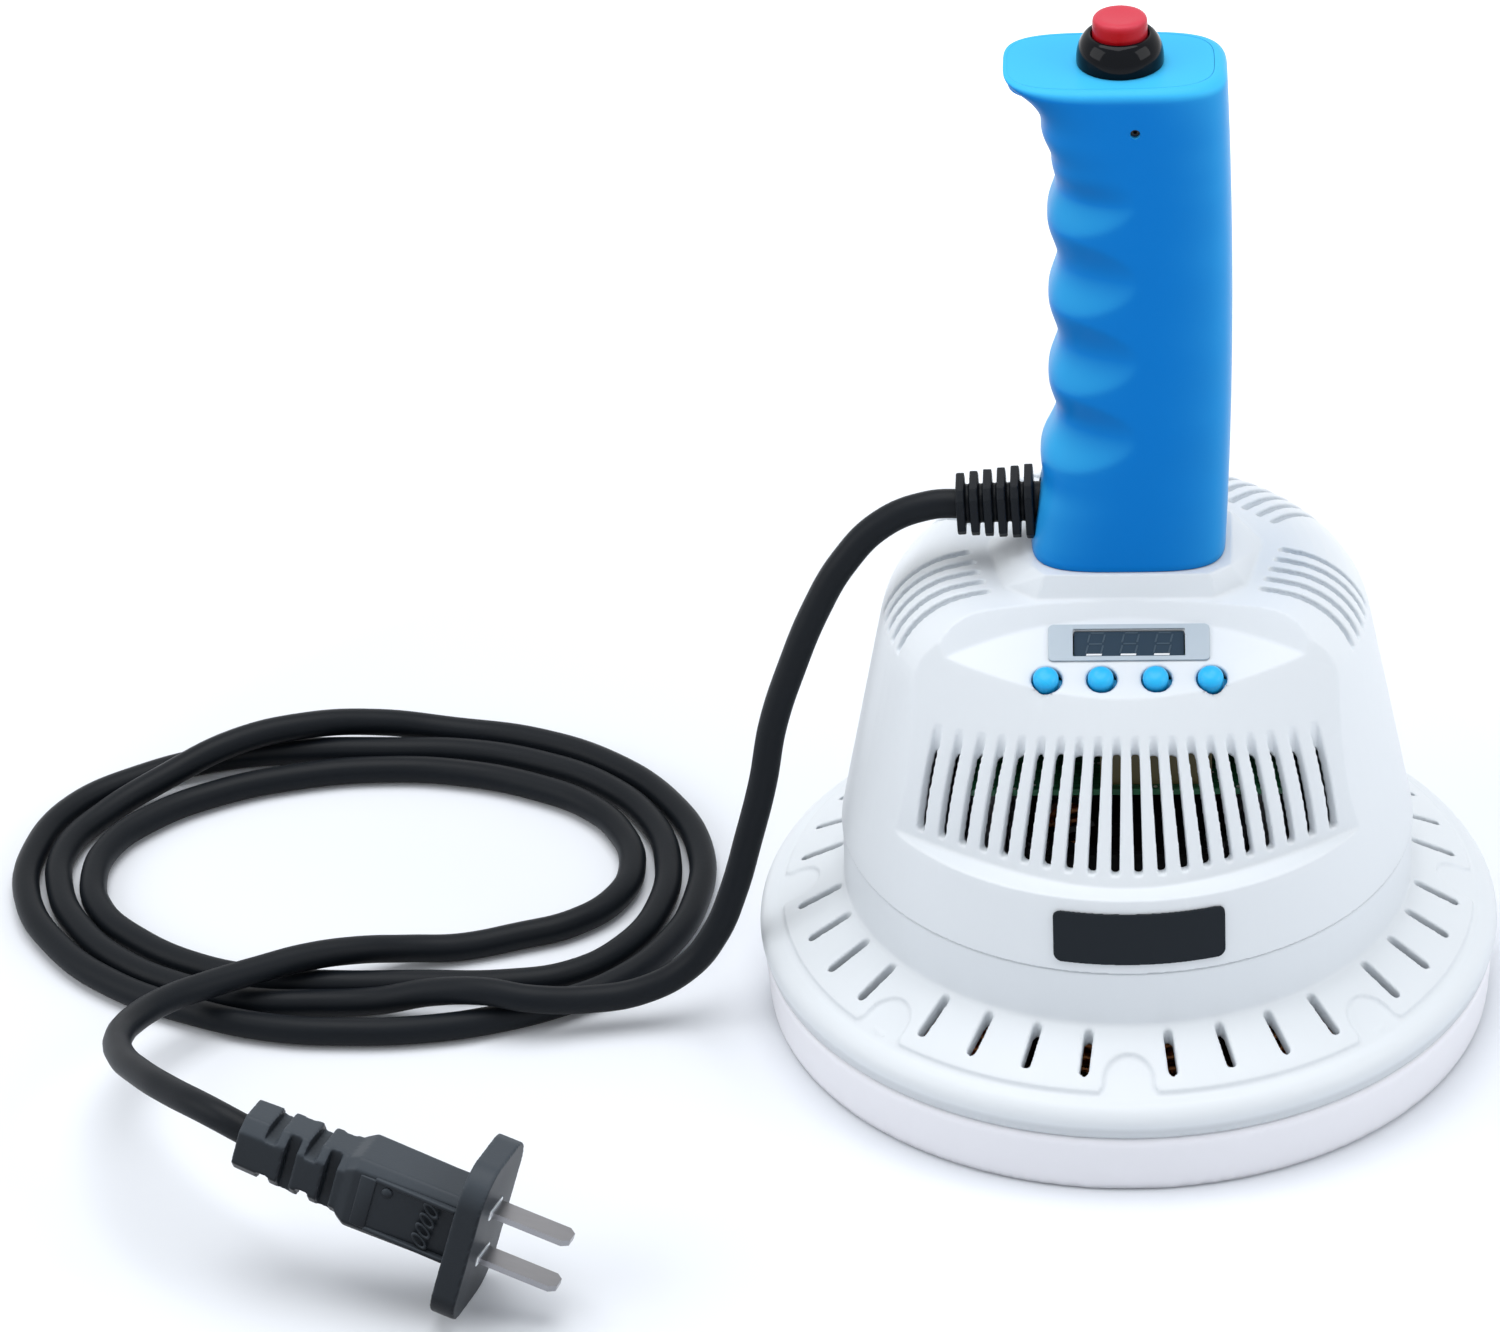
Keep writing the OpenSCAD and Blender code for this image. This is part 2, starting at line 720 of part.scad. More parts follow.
module fan_frame() {
    color(CHARCOAL)
        translate([0, fan_y, fan_z])
            difference() {
                union() {
                    difference() {
                        translate([-fan_side / 2, -fan_side / 2, 0])
                            cube([fan_side, fan_side, fan_depth]);
                        translate([0, 0, -1])
                            cylinder(h = fan_depth + 2, r = fan_side / 2 - 1.5);
                    }
                    for (turn = [0 : 90 : 270])
                        rotate([0, 0, turn])
                            translate([0, -1.5, 0])
                                cube([fan_side / 2 - 1, 3, 2]);
                    cylinder(h = 2, r = hub_r);
                    cylinder(h = fan_depth - 3.5, r = 1.5);
                }
                for (x = [-1, 1], y = [-1, 1])
                    translate([x * (fan_side / 2 - 4), y * (fan_side / 2 - 4), -1])
                        cylinder(h = fan_depth + 2, r = hole_r);
            }
}

module fan_rotor() {
    sweep_r = fan_side / 2 - 2.3;
    color([0.16, 0.16, 0.18])
        translate([0, fan_y, fan_z + 2 + slip])
            difference() {
                union() {
                    cylinder(h = fan_depth - 3, r = hub_r);
                    for (i = [0 : blade_count - 1])
                        rotate([0, 0, i * 360 / blade_count])
                            translate([hub_r - 1, 0, (fan_depth - 3) / 2])
                                rotate([35, 0, 0])
                                    translate([0, -4.5, -0.6])
                                        cube([sweep_r - hub_r, 9, 1.2]);
                }
                translate([0, 0, -EPS])
                    cylinder(h = fan_depth - 5, r = 1.55);
            }
}

module fan_screws() {
    color(STEEL)
        fan_holes()
            translate([0, 0, fan_z + fan_depth])
                rotate([180, 0, 0])
                    screw(fan_depth + chassis_t - 0.5);
}

// Housing

// Revolved form of the housing, moved in by an inset, from a given height up
module bell(inset, from) {
    fillet = shoulder_r - inset;
    steps = 9;
    arc = [for (i = [0 : steps])
        let (a = wall_lean + (90 - wall_lean) * i / steps)
        [shoulder_x + fillet * cos(a), shoulder_z + fillet * sin(a)]];
    rotate_extrude($fn = 180)
        polygon(concat([[0, from], [wall_x(from, inset), from]], arc, [[0, shoulder_z + fillet]]));
}

// Cone whose surface is the grille panel
module panel_form(inset) {
    reach = 150;
    translate([0, -panel_front - panel_tip * sin(panel_lean), ledge_z - panel_tip * cos(panel_lean)])
        rotate([-panel_lean - panel_cone, 0, 0])
            translate([0, 0, inset / sin(panel_cone)])
                cylinder(h = reach, r1 = 0, r2 = reach * tan(panel_cone), $fn = 180);
}

// Frame of the control facet: X across, Y up the slope from its lower edge, Z out of it
module on_facet() {
    translate([0, facet_y, facet_z])
        rotate([facet_slope, 0, 0])
            children();
}

// What is cut from the front of the bell: outside the panel's cone, and the pocket over the control facet
module front_cut(inset) {
    back_y = facet_y + facet_len * cos(facet_slope);
    back_z = facet_z + facet_len * sin(facet_slope);
    pocket_h = 40;
    difference() {
        translate([-housing_r, -housing_r - 10, ledge_z - inset])
            cube([2 * housing_r, housing_r, roof_z]);
        panel_form(inset);
    }
    intersection() {
        on_facet()
            translate([-housing_r, -housing_r, -inset])
                cube([2 * housing_r, 2 * housing_r, pocket_h]);
        translate([0, back_y - facet_back_r, back_z - 20])
            cylinder(h = pocket_h, r1 = facet_back_r + inset - 20 * tan(facet_back_lean),
                r2 = facet_back_r + inset + (pocket_h - 20) * tan(facet_back_lean), $fn = 180);
    }
}

module housing_form(inset, from) {
    difference() {
        bell(inset, from);
        front_cut(inset);
    }
}

// Low pad with sloping sides that carries the handle
module pedestal() {
    left = finger_x + foot_reach;
    right = palm_side(handle_foot);
    hull() {
        translate([0, 0, roof_z - 1])
            linear_extrude(height = 0.5)
                polygon([[-left, -handle_half - 2.1], [right - 2.5, -handle_half - 2.1],
                    [right + 5.5, 4 - handle_half], [right + 9.5, 6.5], [right + 2.5, handle_half + 4.5],
                    [-left - 5.3, handle_half + 4.5], [-left - 12.3, 6.5], [-left - 8.3, 4 - handle_half]]);
        translate([0, 0, handle_foot - 0.5])
            linear_extrude(height = 0.5)
                polygon([[2 - left, -handle_half - 0.7], [right - 3.5, -handle_half - 0.7],
                    [right + 1.5, 3.5 - handle_half], [right + 2, 10], [right - 3.5, handle_half + 0.7],
                    [2.7 - left, handle_half + 0.7], [-left - 0.8, 12], [-left - 0.8, 3.5 - handle_half]]);
    }
}

// Row of parallel groove cutters pointing along +X
module groove_row(count) {
    for (i = [0 : count - 1])
        translate([groove_start, (i - (count - 1) / 2) * groove_pitch - groove_w / 2, groove_end_z])
            cube([60, groove_w, roof_z]);
}

module louvres() {
    for (side = [0, 1])
        mirror([side, 0, 0]) {
            rotate([0, 0, -front_groove_turn])
                translate([0, 4.2, 0])
                    groove_row(front_grooves);
            rotate([0, 0, 45])
                translate([1.6, 0, 0])
                    groove_row(rear_grooves);
        }
}

module grille_slots() {
    foot = ledge_z + grille_rise;
    difference() {
        for (i = [0 : grille_count - 1])
            rotate([0, 0, (i - (grille_count - 1) / 2) * grille_pitch])
                translate([-grille_w / 2, -housing_r, foot])
                    cube([grille_w, 0.6 * housing_r, facet_z - foot - 2]);
        translate([0, grille_fade_r + facet_y - grille_fade, 0])
            cylinder(h = THROUGH, r = grille_fade_r, $fn = 180);
    }
}

key_holes = [for (i = [0 : 3]) [key_x + (i - 1.5) * key_pitch, key_v]];
handle_screw_places = [for (x = [6 - hollow_finger, hollow_palm - 4], y = [-1, 1])
    [x, y * (hollow_half - 4)]];
board_posts = [for (x = [-1, 1]) [key_x + x * (control_half - 5), 17.5]];
wire_way = [hollow_palm - 12.5, 0];
wire_way_r = 4;

module upper_housing() {
    color(WHITE)
        difference() {
            union() {
                difference() {
                    union() {
                        housing_form(0, collar_top);
                        pedestal();
                    }
                    housing_form(housing_wall, collar_top - 1);
                    difference() {
                        louvres();
                        housing_form(groove_depth, collar_top);
                        cylinder(h = THROUGH, r = groove_start - 1);
                    }
                }
                // Lip inside the collar
                difference() {
                    translate([0, 0, collar_top - lip_h])
                        cylinder(h = lip_h + 6, r = collar_r - base_wall - slip, $fn = 180);
                    translate([0, 0, collar_top - lip_h - 1])
                        cylinder(h = lip_h + 8, r = collar_r - base_wall - slip - 1.6, $fn = 180);
                    at_turns(lug_turns, lug_ring)
                        translate([-boss_r - 2, -boss_r - 1.5, collar_top - lip_h - 1])
                            cube([30, 2 * boss_r + 3, lip_h + 1]);
                }
                at_turns(lug_turns, lug_ring)
                    translate([0, 0, collar_top])
                        intersection() {
                            cylinder(h = 16, r = boss_r + 0.4);
                            translate([-lug_ring, 0, -collar_top])
                                cylinder(h = THROUGH, r = wall_x(collar_top + 16, 1));
                        }
                on_facet()
                    for (p = board_posts)
                        translate([p[0], p[1], -board_depth])
                            cylinder(h = board_depth - 1, r = boss_r);
            }
            grille_slots();
            at_turns(lug_turns, lug_ring)
                translate([0, 0, collar_top - EPS])
                    cylinder(h = 14, r = hole_r);
            on_facet() {
                for (p = board_posts)
                    translate([p[0], p[1], -board_depth - EPS])
                        cylinder(h = 7, r = hole_r);
                for (k = key_holes)
                    translate([k[0], k[1], -board_depth]) {
                        cylinder(h = board_depth + 4, r = key_r + key_gap);
                        translate([-key_wing - slip, -1.5 - slip, 0])
                            cube([2 * (key_wing + slip), 3 + 2 * slip, board_depth - housing_wall]);
                    }
                translate([key_x - window_w / 2, label_v - window_h / 2, -housing_wall - 1])
                    cube([window_w, window_h, housing_wall + 4]);
            }
            for (p = handle_screw_places)
                translate([p[0], p[1], roof_z - 10])
                    cylinder(h = 30, r = hole_r);
            translate([wire_way[0], wire_way[1], roof_z - 10])
                cylinder(h = 30, r = wire_way_r);
        }
}

module housing_screws() {
    color(STEEL)
        at_turns(lug_turns, lug_ring)
            translate([0, 0, ear_z])
                screw(chassis_t + lug_t + 12);
}

// Blank badge that follows the band under the ledge
module badge_plate() {
    mid_z = (ledge_z + collar_top) / 2 - 0.2;
    color(CHARCOAL)
        intersection() {
            difference() {
                translate([0, 0, -EPS])
                    bell(-badge_t, collar_top + 0.1);
                bell(-0.04, collar_top);
            }
            rotate([90, 0, 2.4])
                translate([0, mid_z, 0])
                    linear_extrude(height = 2 * housing_r)
                        rounded_plate(badge_w, badge_h, 1.8);
        }
}

// Controls on the facet

module display_label() {
    color([0.6, 0.62, 0.65])
        on_facet()
            translate([key_x, label_v, 0.05])
                difference() {
                    linear_extrude(height = label_t)
                        rounded_plate(label_w, label_h, 1.2);
                    translate([0, 0, -1])
                        linear_extrude(height = label_t + 2)
                            square([window_w, window_h], center = true);
                }
}

module display_module() {
    face = 0.3;
    color([0.12, 0.13, 0.15])
        on_facet()
            translate([key_x, label_v, 0]) {
                translate([-window_w / 2 + slip, -window_h / 2 + slip, -board_depth])
                    cube([window_w - 2 * slip, window_h - 2 * slip, board_depth - face]);
            }
}

module control_board() {
    color(BOARD_GREEN)
        on_facet()
            difference() {
                translate([key_x - control_half, 1, -board_depth - board_t])
                    cube([2 * control_half, facet_len - 1.5, board_t]);
                for (p = board_posts)
                    translate([p[0], p[1], -board_depth - board_t - 1])
                        cylinder(h = board_t + 2, r = hole_r);
            }
}

module control_board_screws() {
    color(STEEL)
        on_facet()
            for (p = board_posts)
                translate([p[0], p[1], -board_depth - board_t])
                    screw(7);
}

key_foot = -6;
switch_top = key_foot - key_travel - 0.1;

module key_switches() {
    side = 6;
    color([0.2, 0.2, 0.22])
        on_facet()
            for (k = key_holes)
                translate([k[0], k[1], -board_depth]) {
                    translate([-side / 2, -side / 2 + 0.4, 0])
                        cube([side, side - 0.8, 3]);
                    cylinder(h = board_depth + switch_top, r = 1.7);
                }
}

module key(index) {
    crown = key_h + 2;
    color(BLUE)
        on_facet()
            translate([key_holes[index][0], key_holes[index][1], 0]) {
                translate([0, 0, key_foot])
                    cylinder(h = -key_foot + key_h - 1.8, r = key_r);
                translate([-key_wing, -1.5, -housing_wall - slip - 1])
                    cube([2 * key_wing, 3, 1]);
                intersection() {
                    translate([0, 0, key_foot])
                        cylinder(h = -key_foot + key_h, r = key_r);
                    translate([0, 0, key_h - crown])
                        sphere(r = crown, $fn = 48);
                }
            }
}

module key_1() {
    key(0);
}

module key_2() {
    key(1);
}

module key_3() {
    key(2);
}

module key_4() {
    key(3);
}

// Handle

first_bump = handle_top - 37.5;
grip_low = handle_foot + 20;
grip_high = handle_top - 20.5;
palm_mid = handle_foot + 0.514 * handle_len;
function grip_on(z) = smooth(ramp(grip_low - 8, grip_low + 6, z))
    * (1 - smooth(ramp(grip_high - 10, grip_high, z)));
function grip_phase(z) = cos(360 * (z - first_bump) / finger_pitch);
function grip_scoop(z) = pow(abs(sin(180 * (z - first_bump) / finger_pitch)), 0.85);
function finger_side(z) = -(finger_x + finger_wave * grip_phase(z) * grip_on(z)
    + lip_reach * pow(ramp(grip_high - 3, handle_top, z), 2.3)
    + foot_reach * smooth(1 - ramp(handle_foot, grip_low + 6, z)));
function palm_side(z) = palm_x - 5.6 * pow((z - palm_mid) / handle_len, 2);
function squircle(t, power) = sign(t) * pow(abs(t), 2 / power);

// Outline of the handle at a height, moved in by a margin
function grip_outline(z, margin, sides = 28) =
    let (left = finger_side(z) + margin, right = palm_side(z) - margin, mid = (left + right) / 2,
        half_x = (right - left) / 2, half_y = handle_half - margin,
        pinch = finger_pinch * grip_scoop(z) * grip_on(z))
    [for (i = [0 : sides - 1])
        let (a = 360 * i / sides, u = squircle(cos(a), 4.2), v = squircle(sin(a), 4.2),
            side = max(0, -u))
        [mid + half_x * u, v * (half_y - pinch * side * side)]];

grip_levels = concat([for (i = [0 : 35]) [handle_foot + i * (handle_len - top_round) / 35, 0]],
    [[handle_top - top_round * 0.6, top_round * 0.1], [handle_top - top_round * 0.25, top_round * 0.4],
        [handle_top, top_round]]);

// Skin through rings of points, capped at both ends
module skin(rings) {
    sides = len(rings[0]);
    count = len(rings);
    points = [for (ring = rings) each ring];
    walls = [for (r = [0 : count - 2], i = [0 : sides - 1])
        let (a = r * sides + i, b = r * sides + (i + 1) % sides)
        each [[a, a + sides, b + sides], [a, b + sides, b]]];
    floor_cap = [[for (i = [0 : sides - 1]) i]];
    roof_cap = [[for (i = [sides - 1 : -1 : 0]) (count - 1) * sides + i]];
    polyhedron(points = points, faces = concat(walls, floor_cap, roof_cap), convexity = 6);
}

module grip_solid() {
    skin([for (level = grip_levels)
        [for (p = grip_outline(level[0], level[1])) [p[0], p[1], level[0]]]]);
}

relief_root = finger_side(relief_z);
relief_neck_r = cord_d / 2 + 1.6;

// Frame of the strain relief: Z along the cord's way out, from the handle's side
module on_relief() {
    translate([relief_root, 0, relief_z])
        rotate([0, -90 - relief_tilt, 0])
            children();
}

module handle_shell() {
    hollow_w = hollow_palm + hollow_finger;
    color(BLUE)
        difference() {
            grip_solid();
            translate([-hollow_finger, -hollow_half, handle_foot + handle_floor])
                cube([hollow_w, 2 * hollow_half, handle_len - handle_floor + 1]);
            translate([0, 0, cap_z])
                linear_extrude(height = cap_t + 1)
                    polygon(grip_outline(handle_top, cap_margin - slip));
            on_relief()
                translate([0, 0, -20])
                    cylinder(h = 30, r = relief_neck_r + slip);
            translate([set_x, 0, handle_top - set_drop])
                rotate([90, 0, 0])
                    cylinder(h = handle_half + 2, r = set_hole_r);
            for (p = handle_screw_places)
                translate([p[0], p[1], handle_foot - 1])
                    cylinder(h = handle_floor + 2, r = hole_r);
            translate([wire_way[0], wire_way[1], handle_foot - 1])
                cylinder(h = handle_floor + 2, r = wire_way_r);
        }
}

module handle_screws() {
    color(STEEL)
        for (p = handle_screw_places)
            translate([p[0], p[1], roof_z - housing_wall])
                screw(handle_foot + handle_floor - roof_z + housing_wall + 2);
}

module handle_cap() {
    lug_w = 8;
    color(BLUE)
        difference() {
            union() {
                translate([0, 0, cap_z])
                    linear_extrude(height = cap_t)
                        polygon(grip_outline(handle_top, cap_margin));
                translate([set_x - lug_w / 2, -hollow_half + slip, handle_top - set_drop - 4])
                    cube([lug_w, 1.6, set_drop + 4 - cap_t + EPS]);
            }
            translate([0, 0, cap_z - 1])
                cylinder(h = cap_t + 2, r = barrel_r + slip / 2);
            translate([set_x, 0, handle_top - set_drop])
                rotate([90, 0, 0])
                    cylinder(h = handle_half + 2, r = set_hole_r);
        }
}

module cap_screw() {
    grub_r = set_hole_r - screw_gap;
    from = handle_half - 1.2;
    color(STEEL)
        translate([set_x, -from, handle_top - set_drop])
            rotate([-90, 0, 0])
                difference() {
                    cylinder(h = from - hollow_half + 2, r = grub_r);
                    translate([0, 0, -EPS])
                        cylinder(h = 1, r = grub_r * 0.5, $fn = 6);
                }
}

// Trigger switch

module switch_bezel() {
    shoulder = 1.5;
    color(CHARCOAL)
        rotate_extrude($fn = 96)
            difference() {
                union() {
                    translate([0, barrel_z])
                        square([barrel_r, barrel_len]);
                    polygon([[0, handle_top], [bezel_r, handle_top], [bezel_r, handle_top + shoulder],
                        [bezel_r - 0.6, handle_top + bezel_h * 0.62], [bezel_top_r, handle_top + bezel_h],
                        [0, handle_top + bezel_h]]);
                }
                translate([0, cup_floor])
                    square([button_r + slip, THROUGH]);
                translate([0, barrel_z - 1])
                    square([stem_r + slip, 10]);
            }
}

module switch_nut() {
    nut_r = 8.8 + barrel_r - 7.5;
    color(STEEL)
        translate([0, 0, cap_z - nut_h])
            difference() {
                cylinder(h = nut_h, r = nut_r);
                translate([0, 0, -1])
                    cylinder(h = nut_h + 2, r = barrel_r + screw_gap);
                for (turn = [0 : 30 : 330])
                    rotate([0, 0, turn])
                        translate([nut_r, 0, -1])
                            cylinder(h = nut_h + 2, r = 0.6, $fn = 24);
            }
}

module switch_body() {
    color([0.15, 0.15, 0.16])
        difference() {
            union() {
                translate([-switch_side / 2, -switch_side / 2, barrel_z - switch_h])
                    cube([switch_side, switch_side, switch_h]);
                for (x = [-3, 3])
                    translate([x - 0.4, -1.5, barrel_z - switch_h - 6])
                        cube([0.8, 3, 7]);
            }
            translate([0, 0, barrel_z - 10])
                cylinder(h = 11, r = stem_r + slip);
        }
}

module trigger_button() {
    crown = handle_top + button_h;
    skirt = cup_floor + button_travel + slip;
    color([0.85, 0.1, 0.15])
        rotate_extrude($fn = 64)
            difference() {
                polygon([[0, skirt], [button_r, skirt], [button_r, crown - 0.6], [button_r - 0.6, crown],
                    [0, crown]]);
                translate([stem_r, skirt - 1])
                    square([button_r - button_wall - stem_r, crown - skirt - 1]);
            }
    color([0.85, 0.1, 0.15])
        translate([0, 0, barrel_z - 5])
            cylinder(h = skirt - barrel_z + 6, r = stem_r);
}

// Return spring in the button's cup, drawn as its turns
module trigger_spring() {
    foot = cup_floor + spring_wire / 2 + 0.05;
    head = handle_top + button_h - 2 - spring_wire / 2 - 0.05;
    mean_r = (button_r - button_wall + stem_r) / 2;
    sides = 6;
    steps = 12 * spring_turns;
    color(STEEL)
        skin([for (i = [0 : steps])
            let (turn = -30 * i, z = foot + (head - foot) * i / steps)
            [for (k = [0 : sides - 1])
                let (a = 360 * k / sides, r = mean_r + spring_wire / 2 * cos(a))
                [r * cos(turn), r * sin(turn), z + spring_wire / 2 * sin(a)]]]);
}

// Strain relief, cord and plug

module chamfered_square(width, chamfer) {
    h = width / 2;
    c = h - chamfer;
    polygon([[-c, -h], [c, -h], [h, -c], [h, c], [c, h], [-c, h], [-h, c], [-h, -c]]);
}

module strain_relief() {
    root = 1.9;
    pitch = (relief_len - root - rib_t) / (rib_count - 1);
    wall = hollow_finger + relief_root;
    color(CHARCOAL)
        on_relief()
            difference() {
                union() {
                    translate([0, 0, wall - 3])
                        cylinder(h = relief_len - wall + 3, r = relief_neck_r);
                    for (i = [0 : rib_count - 1])
                        translate([0, 0, root + i * pitch])
                            linear_extrude(height = rib_t)
                                chamfered_square(rib_w + (rib_end_w - rib_w) * i / (rib_count - 1), 2.6);
                }
                translate([0, 0, relief_len - cord_grip])
                    cylinder(h = cord_grip + 1, r = cord_d / 2 + screw_gap);
            }
}

// Ring of a tube round a point, square to a direction
function tube_ring(p, way, r, sides) =
    let (w = way / norm(way), s = cross(w, [0, 0, 1]), right = norm(s) > 0.01 ? s / norm(s) : [0, 1, 0],
        up = cross(right, w))
    [for (k = [0 : sides - 1]) p + r * (cos(360 * k / sides) * right + sin(360 * k / sides) * up)];

module cord() {
    last = len(ROUTE) - 1;
    color(CHARCOAL)
        skin([for (i = [0 : last])
            let (way = i == 0 ? ROUTE[1] - ROUTE[0] : i == last ? ROUTE[last] - ROUTE[last - 1]
                : ROUTE[i + 1] - ROUTE[i - 1])
            tube_ring(ROUTE[i], way, cord_d / 2, cord_sides)]);
}

// Frame of the plug: X along its blades from the boot's end, Z along the line between the blades
module on_plug() {
    translate(ROUTE[len(ROUTE) - 1])
        rotate([0, 0, plug_turn])
            rotate([-plug_lean, plug_dip, 0])
                translate([-cord_grip, 0, 0])
                    children();
}

module plug_section(x, height, width, chamfer) {
    translate([x, 0, 0])
        rotate([90, 0, 90])
            linear_extrude(height = EPS)
                polygon([[-width / 2 + chamfer, -height / 2], [width / 2 - chamfer, -height / 2],
                    [width / 2, -height / 2 + chamfer], [width / 2, height / 2 - chamfer],
                    [width / 2 - chamfer, height / 2], [-width / 2 + chamfer, height / 2],
                    [-width / 2, height / 2 - chamfer], [-width / 2, -height / 2 + chamfer]]);
}

module plug_block(from, to, start, end, chamfer) {
    hull() {
        plug_section(from, start[0], start[1], chamfer);
        plug_section(to - EPS, end[0], end[1], chamfer);
    }
}

// Boot with slots that alternate between its sides, so that it bends evenly
module plug_boot(length, start, end) {
    slot_w = length * 0.11;
    core = cord_d / 2;
    difference() {
        plug_block(0, length, start, end, 2.4);
        for (i = [0, 1], side = [0, 180])
            rotate([side, 0, 0]) {
                translate([length * (0.24 + 0.38 * i), -plug_w, core])
                    cube([slot_w, 2 * plug_w, plug_h]);
                translate([length * (0.44 + 0.38 * i), core, -plug_h])
                    cube([slot_w, plug_w, 2 * plug_h]);
            }
    }
}

module plug_body() {
    boot = plug_len * 0.48;
    shoulder = boot + 2.5;
    neck = [boot_h + 1.5, plug_w - 1];
    back = [plug_h - 3, plug_w];
    color(CHARCOAL)
        on_plug()
            difference() {
                union() {
                    plug_boot(boot, [boot_h, plug_w - 2], neck);
                    plug_block(boot - EPS, shoulder, neck, back, 1.8);
                    plug_block(shoulder - EPS, plug_len + EPS, back, [plug_h, plug_w + 1], 1.8);
                    translate([plug_len, 0, 0])
                        rotate([90, 0, 90])
                            linear_extrude(height = flange_t)
                                rounded_plate(flange_w, flange_l, flange_corner);
                }
                for (side = [-1, 1])
                    translate([plug_len + flange_t - 4, -blade_w / 2 - screw_gap,
                        side * blade_gap / 2 - blade_t / 2 - screw_gap])
                        cube([5, blade_w + 2 * screw_gap, blade_t + 2 * screw_gap]);
                translate([-1, 0, 0])
                    rotate([0, 90, 0])
                        cylinder(h = cord_grip + 1, r = cord_d / 2 + screw_gap);
            }
}

module plug_blades() {
    color(STEEL)
        on_plug()
            for (side = [-1, 1])
                translate([plug_len + flange_t - 4, 0, side * blade_gap / 2 - blade_t / 2])
                    linear_extrude(height = blade_t)
                        polygon([[0, -blade_w / 2], [blade_len + 2.5, -blade_w / 2],
                            [blade_len + 4, -blade_w / 2 + 1.5], [blade_len + 4, blade_w / 2 - 1.5],
                            [blade_len + 2.5, blade_w / 2], [0, blade_w / 2]]);
}

base_tray();
skirt_cover();
base_screws();
coil_former();
induction_coil();
ferrite_bars();
chassis_plate();
power_board();
power_board_screws();
film_capacitor();
electrolytic_capacitors();
choke();
heat_sink();
power_transistors();
fan_frame();
fan_rotor();
fan_screws();
upper_housing();
housing_screws();
badge_plate();
display_label();
display_module();
control_board();
control_board_screws();
key_switches();
key_1();
key_2();
key_3();
key_4();
handle_shell();
handle_screws();
handle_cap();
cap_screw();
switch_bezel();
switch_nut();
switch_body();
trigger_button();
trigger_spring();
strain_relief();
cord();
plug_body();
plug_blades();
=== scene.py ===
import bpy
import math
from mathutils import Matrix, Vector


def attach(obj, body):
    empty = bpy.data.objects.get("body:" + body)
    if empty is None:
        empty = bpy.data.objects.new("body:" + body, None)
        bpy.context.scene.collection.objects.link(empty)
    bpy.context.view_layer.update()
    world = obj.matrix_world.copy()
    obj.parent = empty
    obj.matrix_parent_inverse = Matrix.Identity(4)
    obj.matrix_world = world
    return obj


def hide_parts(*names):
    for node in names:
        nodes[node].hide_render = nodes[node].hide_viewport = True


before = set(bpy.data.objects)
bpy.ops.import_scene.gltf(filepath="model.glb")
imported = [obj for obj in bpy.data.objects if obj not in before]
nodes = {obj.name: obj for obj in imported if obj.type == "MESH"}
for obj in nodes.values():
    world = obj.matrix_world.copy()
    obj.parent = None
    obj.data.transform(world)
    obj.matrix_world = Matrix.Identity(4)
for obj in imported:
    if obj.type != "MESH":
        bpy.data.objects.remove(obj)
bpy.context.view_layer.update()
scene = bpy.context.scene
scene.view_settings.view_transform = "Standard"


# Camera
# It stands in front of the sealer and looks down on it through a long lens,
# turned a little to the left and tilted a little, as the photograph was taken.
pitch, yaw, roll = math.radians(32.42), math.radians(-4.24), math.radians(-2.76)
ahead = Vector((math.sin(yaw) * math.cos(pitch), math.cos(yaw) * math.cos(pitch), -math.sin(pitch)))
level = Vector((math.cos(yaw), -math.sin(yaw), 0))
above = level.cross(ahead)
across = math.cos(roll) * level + math.sin(roll) * above
upward = math.cos(roll) * above - math.sin(roll) * level
bpy.ops.object.camera_add()
camera = bpy.context.object
camera.matrix_world = Matrix.Translation((0, -1.208, 0.860)) @ Matrix((across, upward, -ahead)).transposed().to_4x4()
camera.data.lens = 144
camera.data.sensor_width = 36
scene.camera = camera


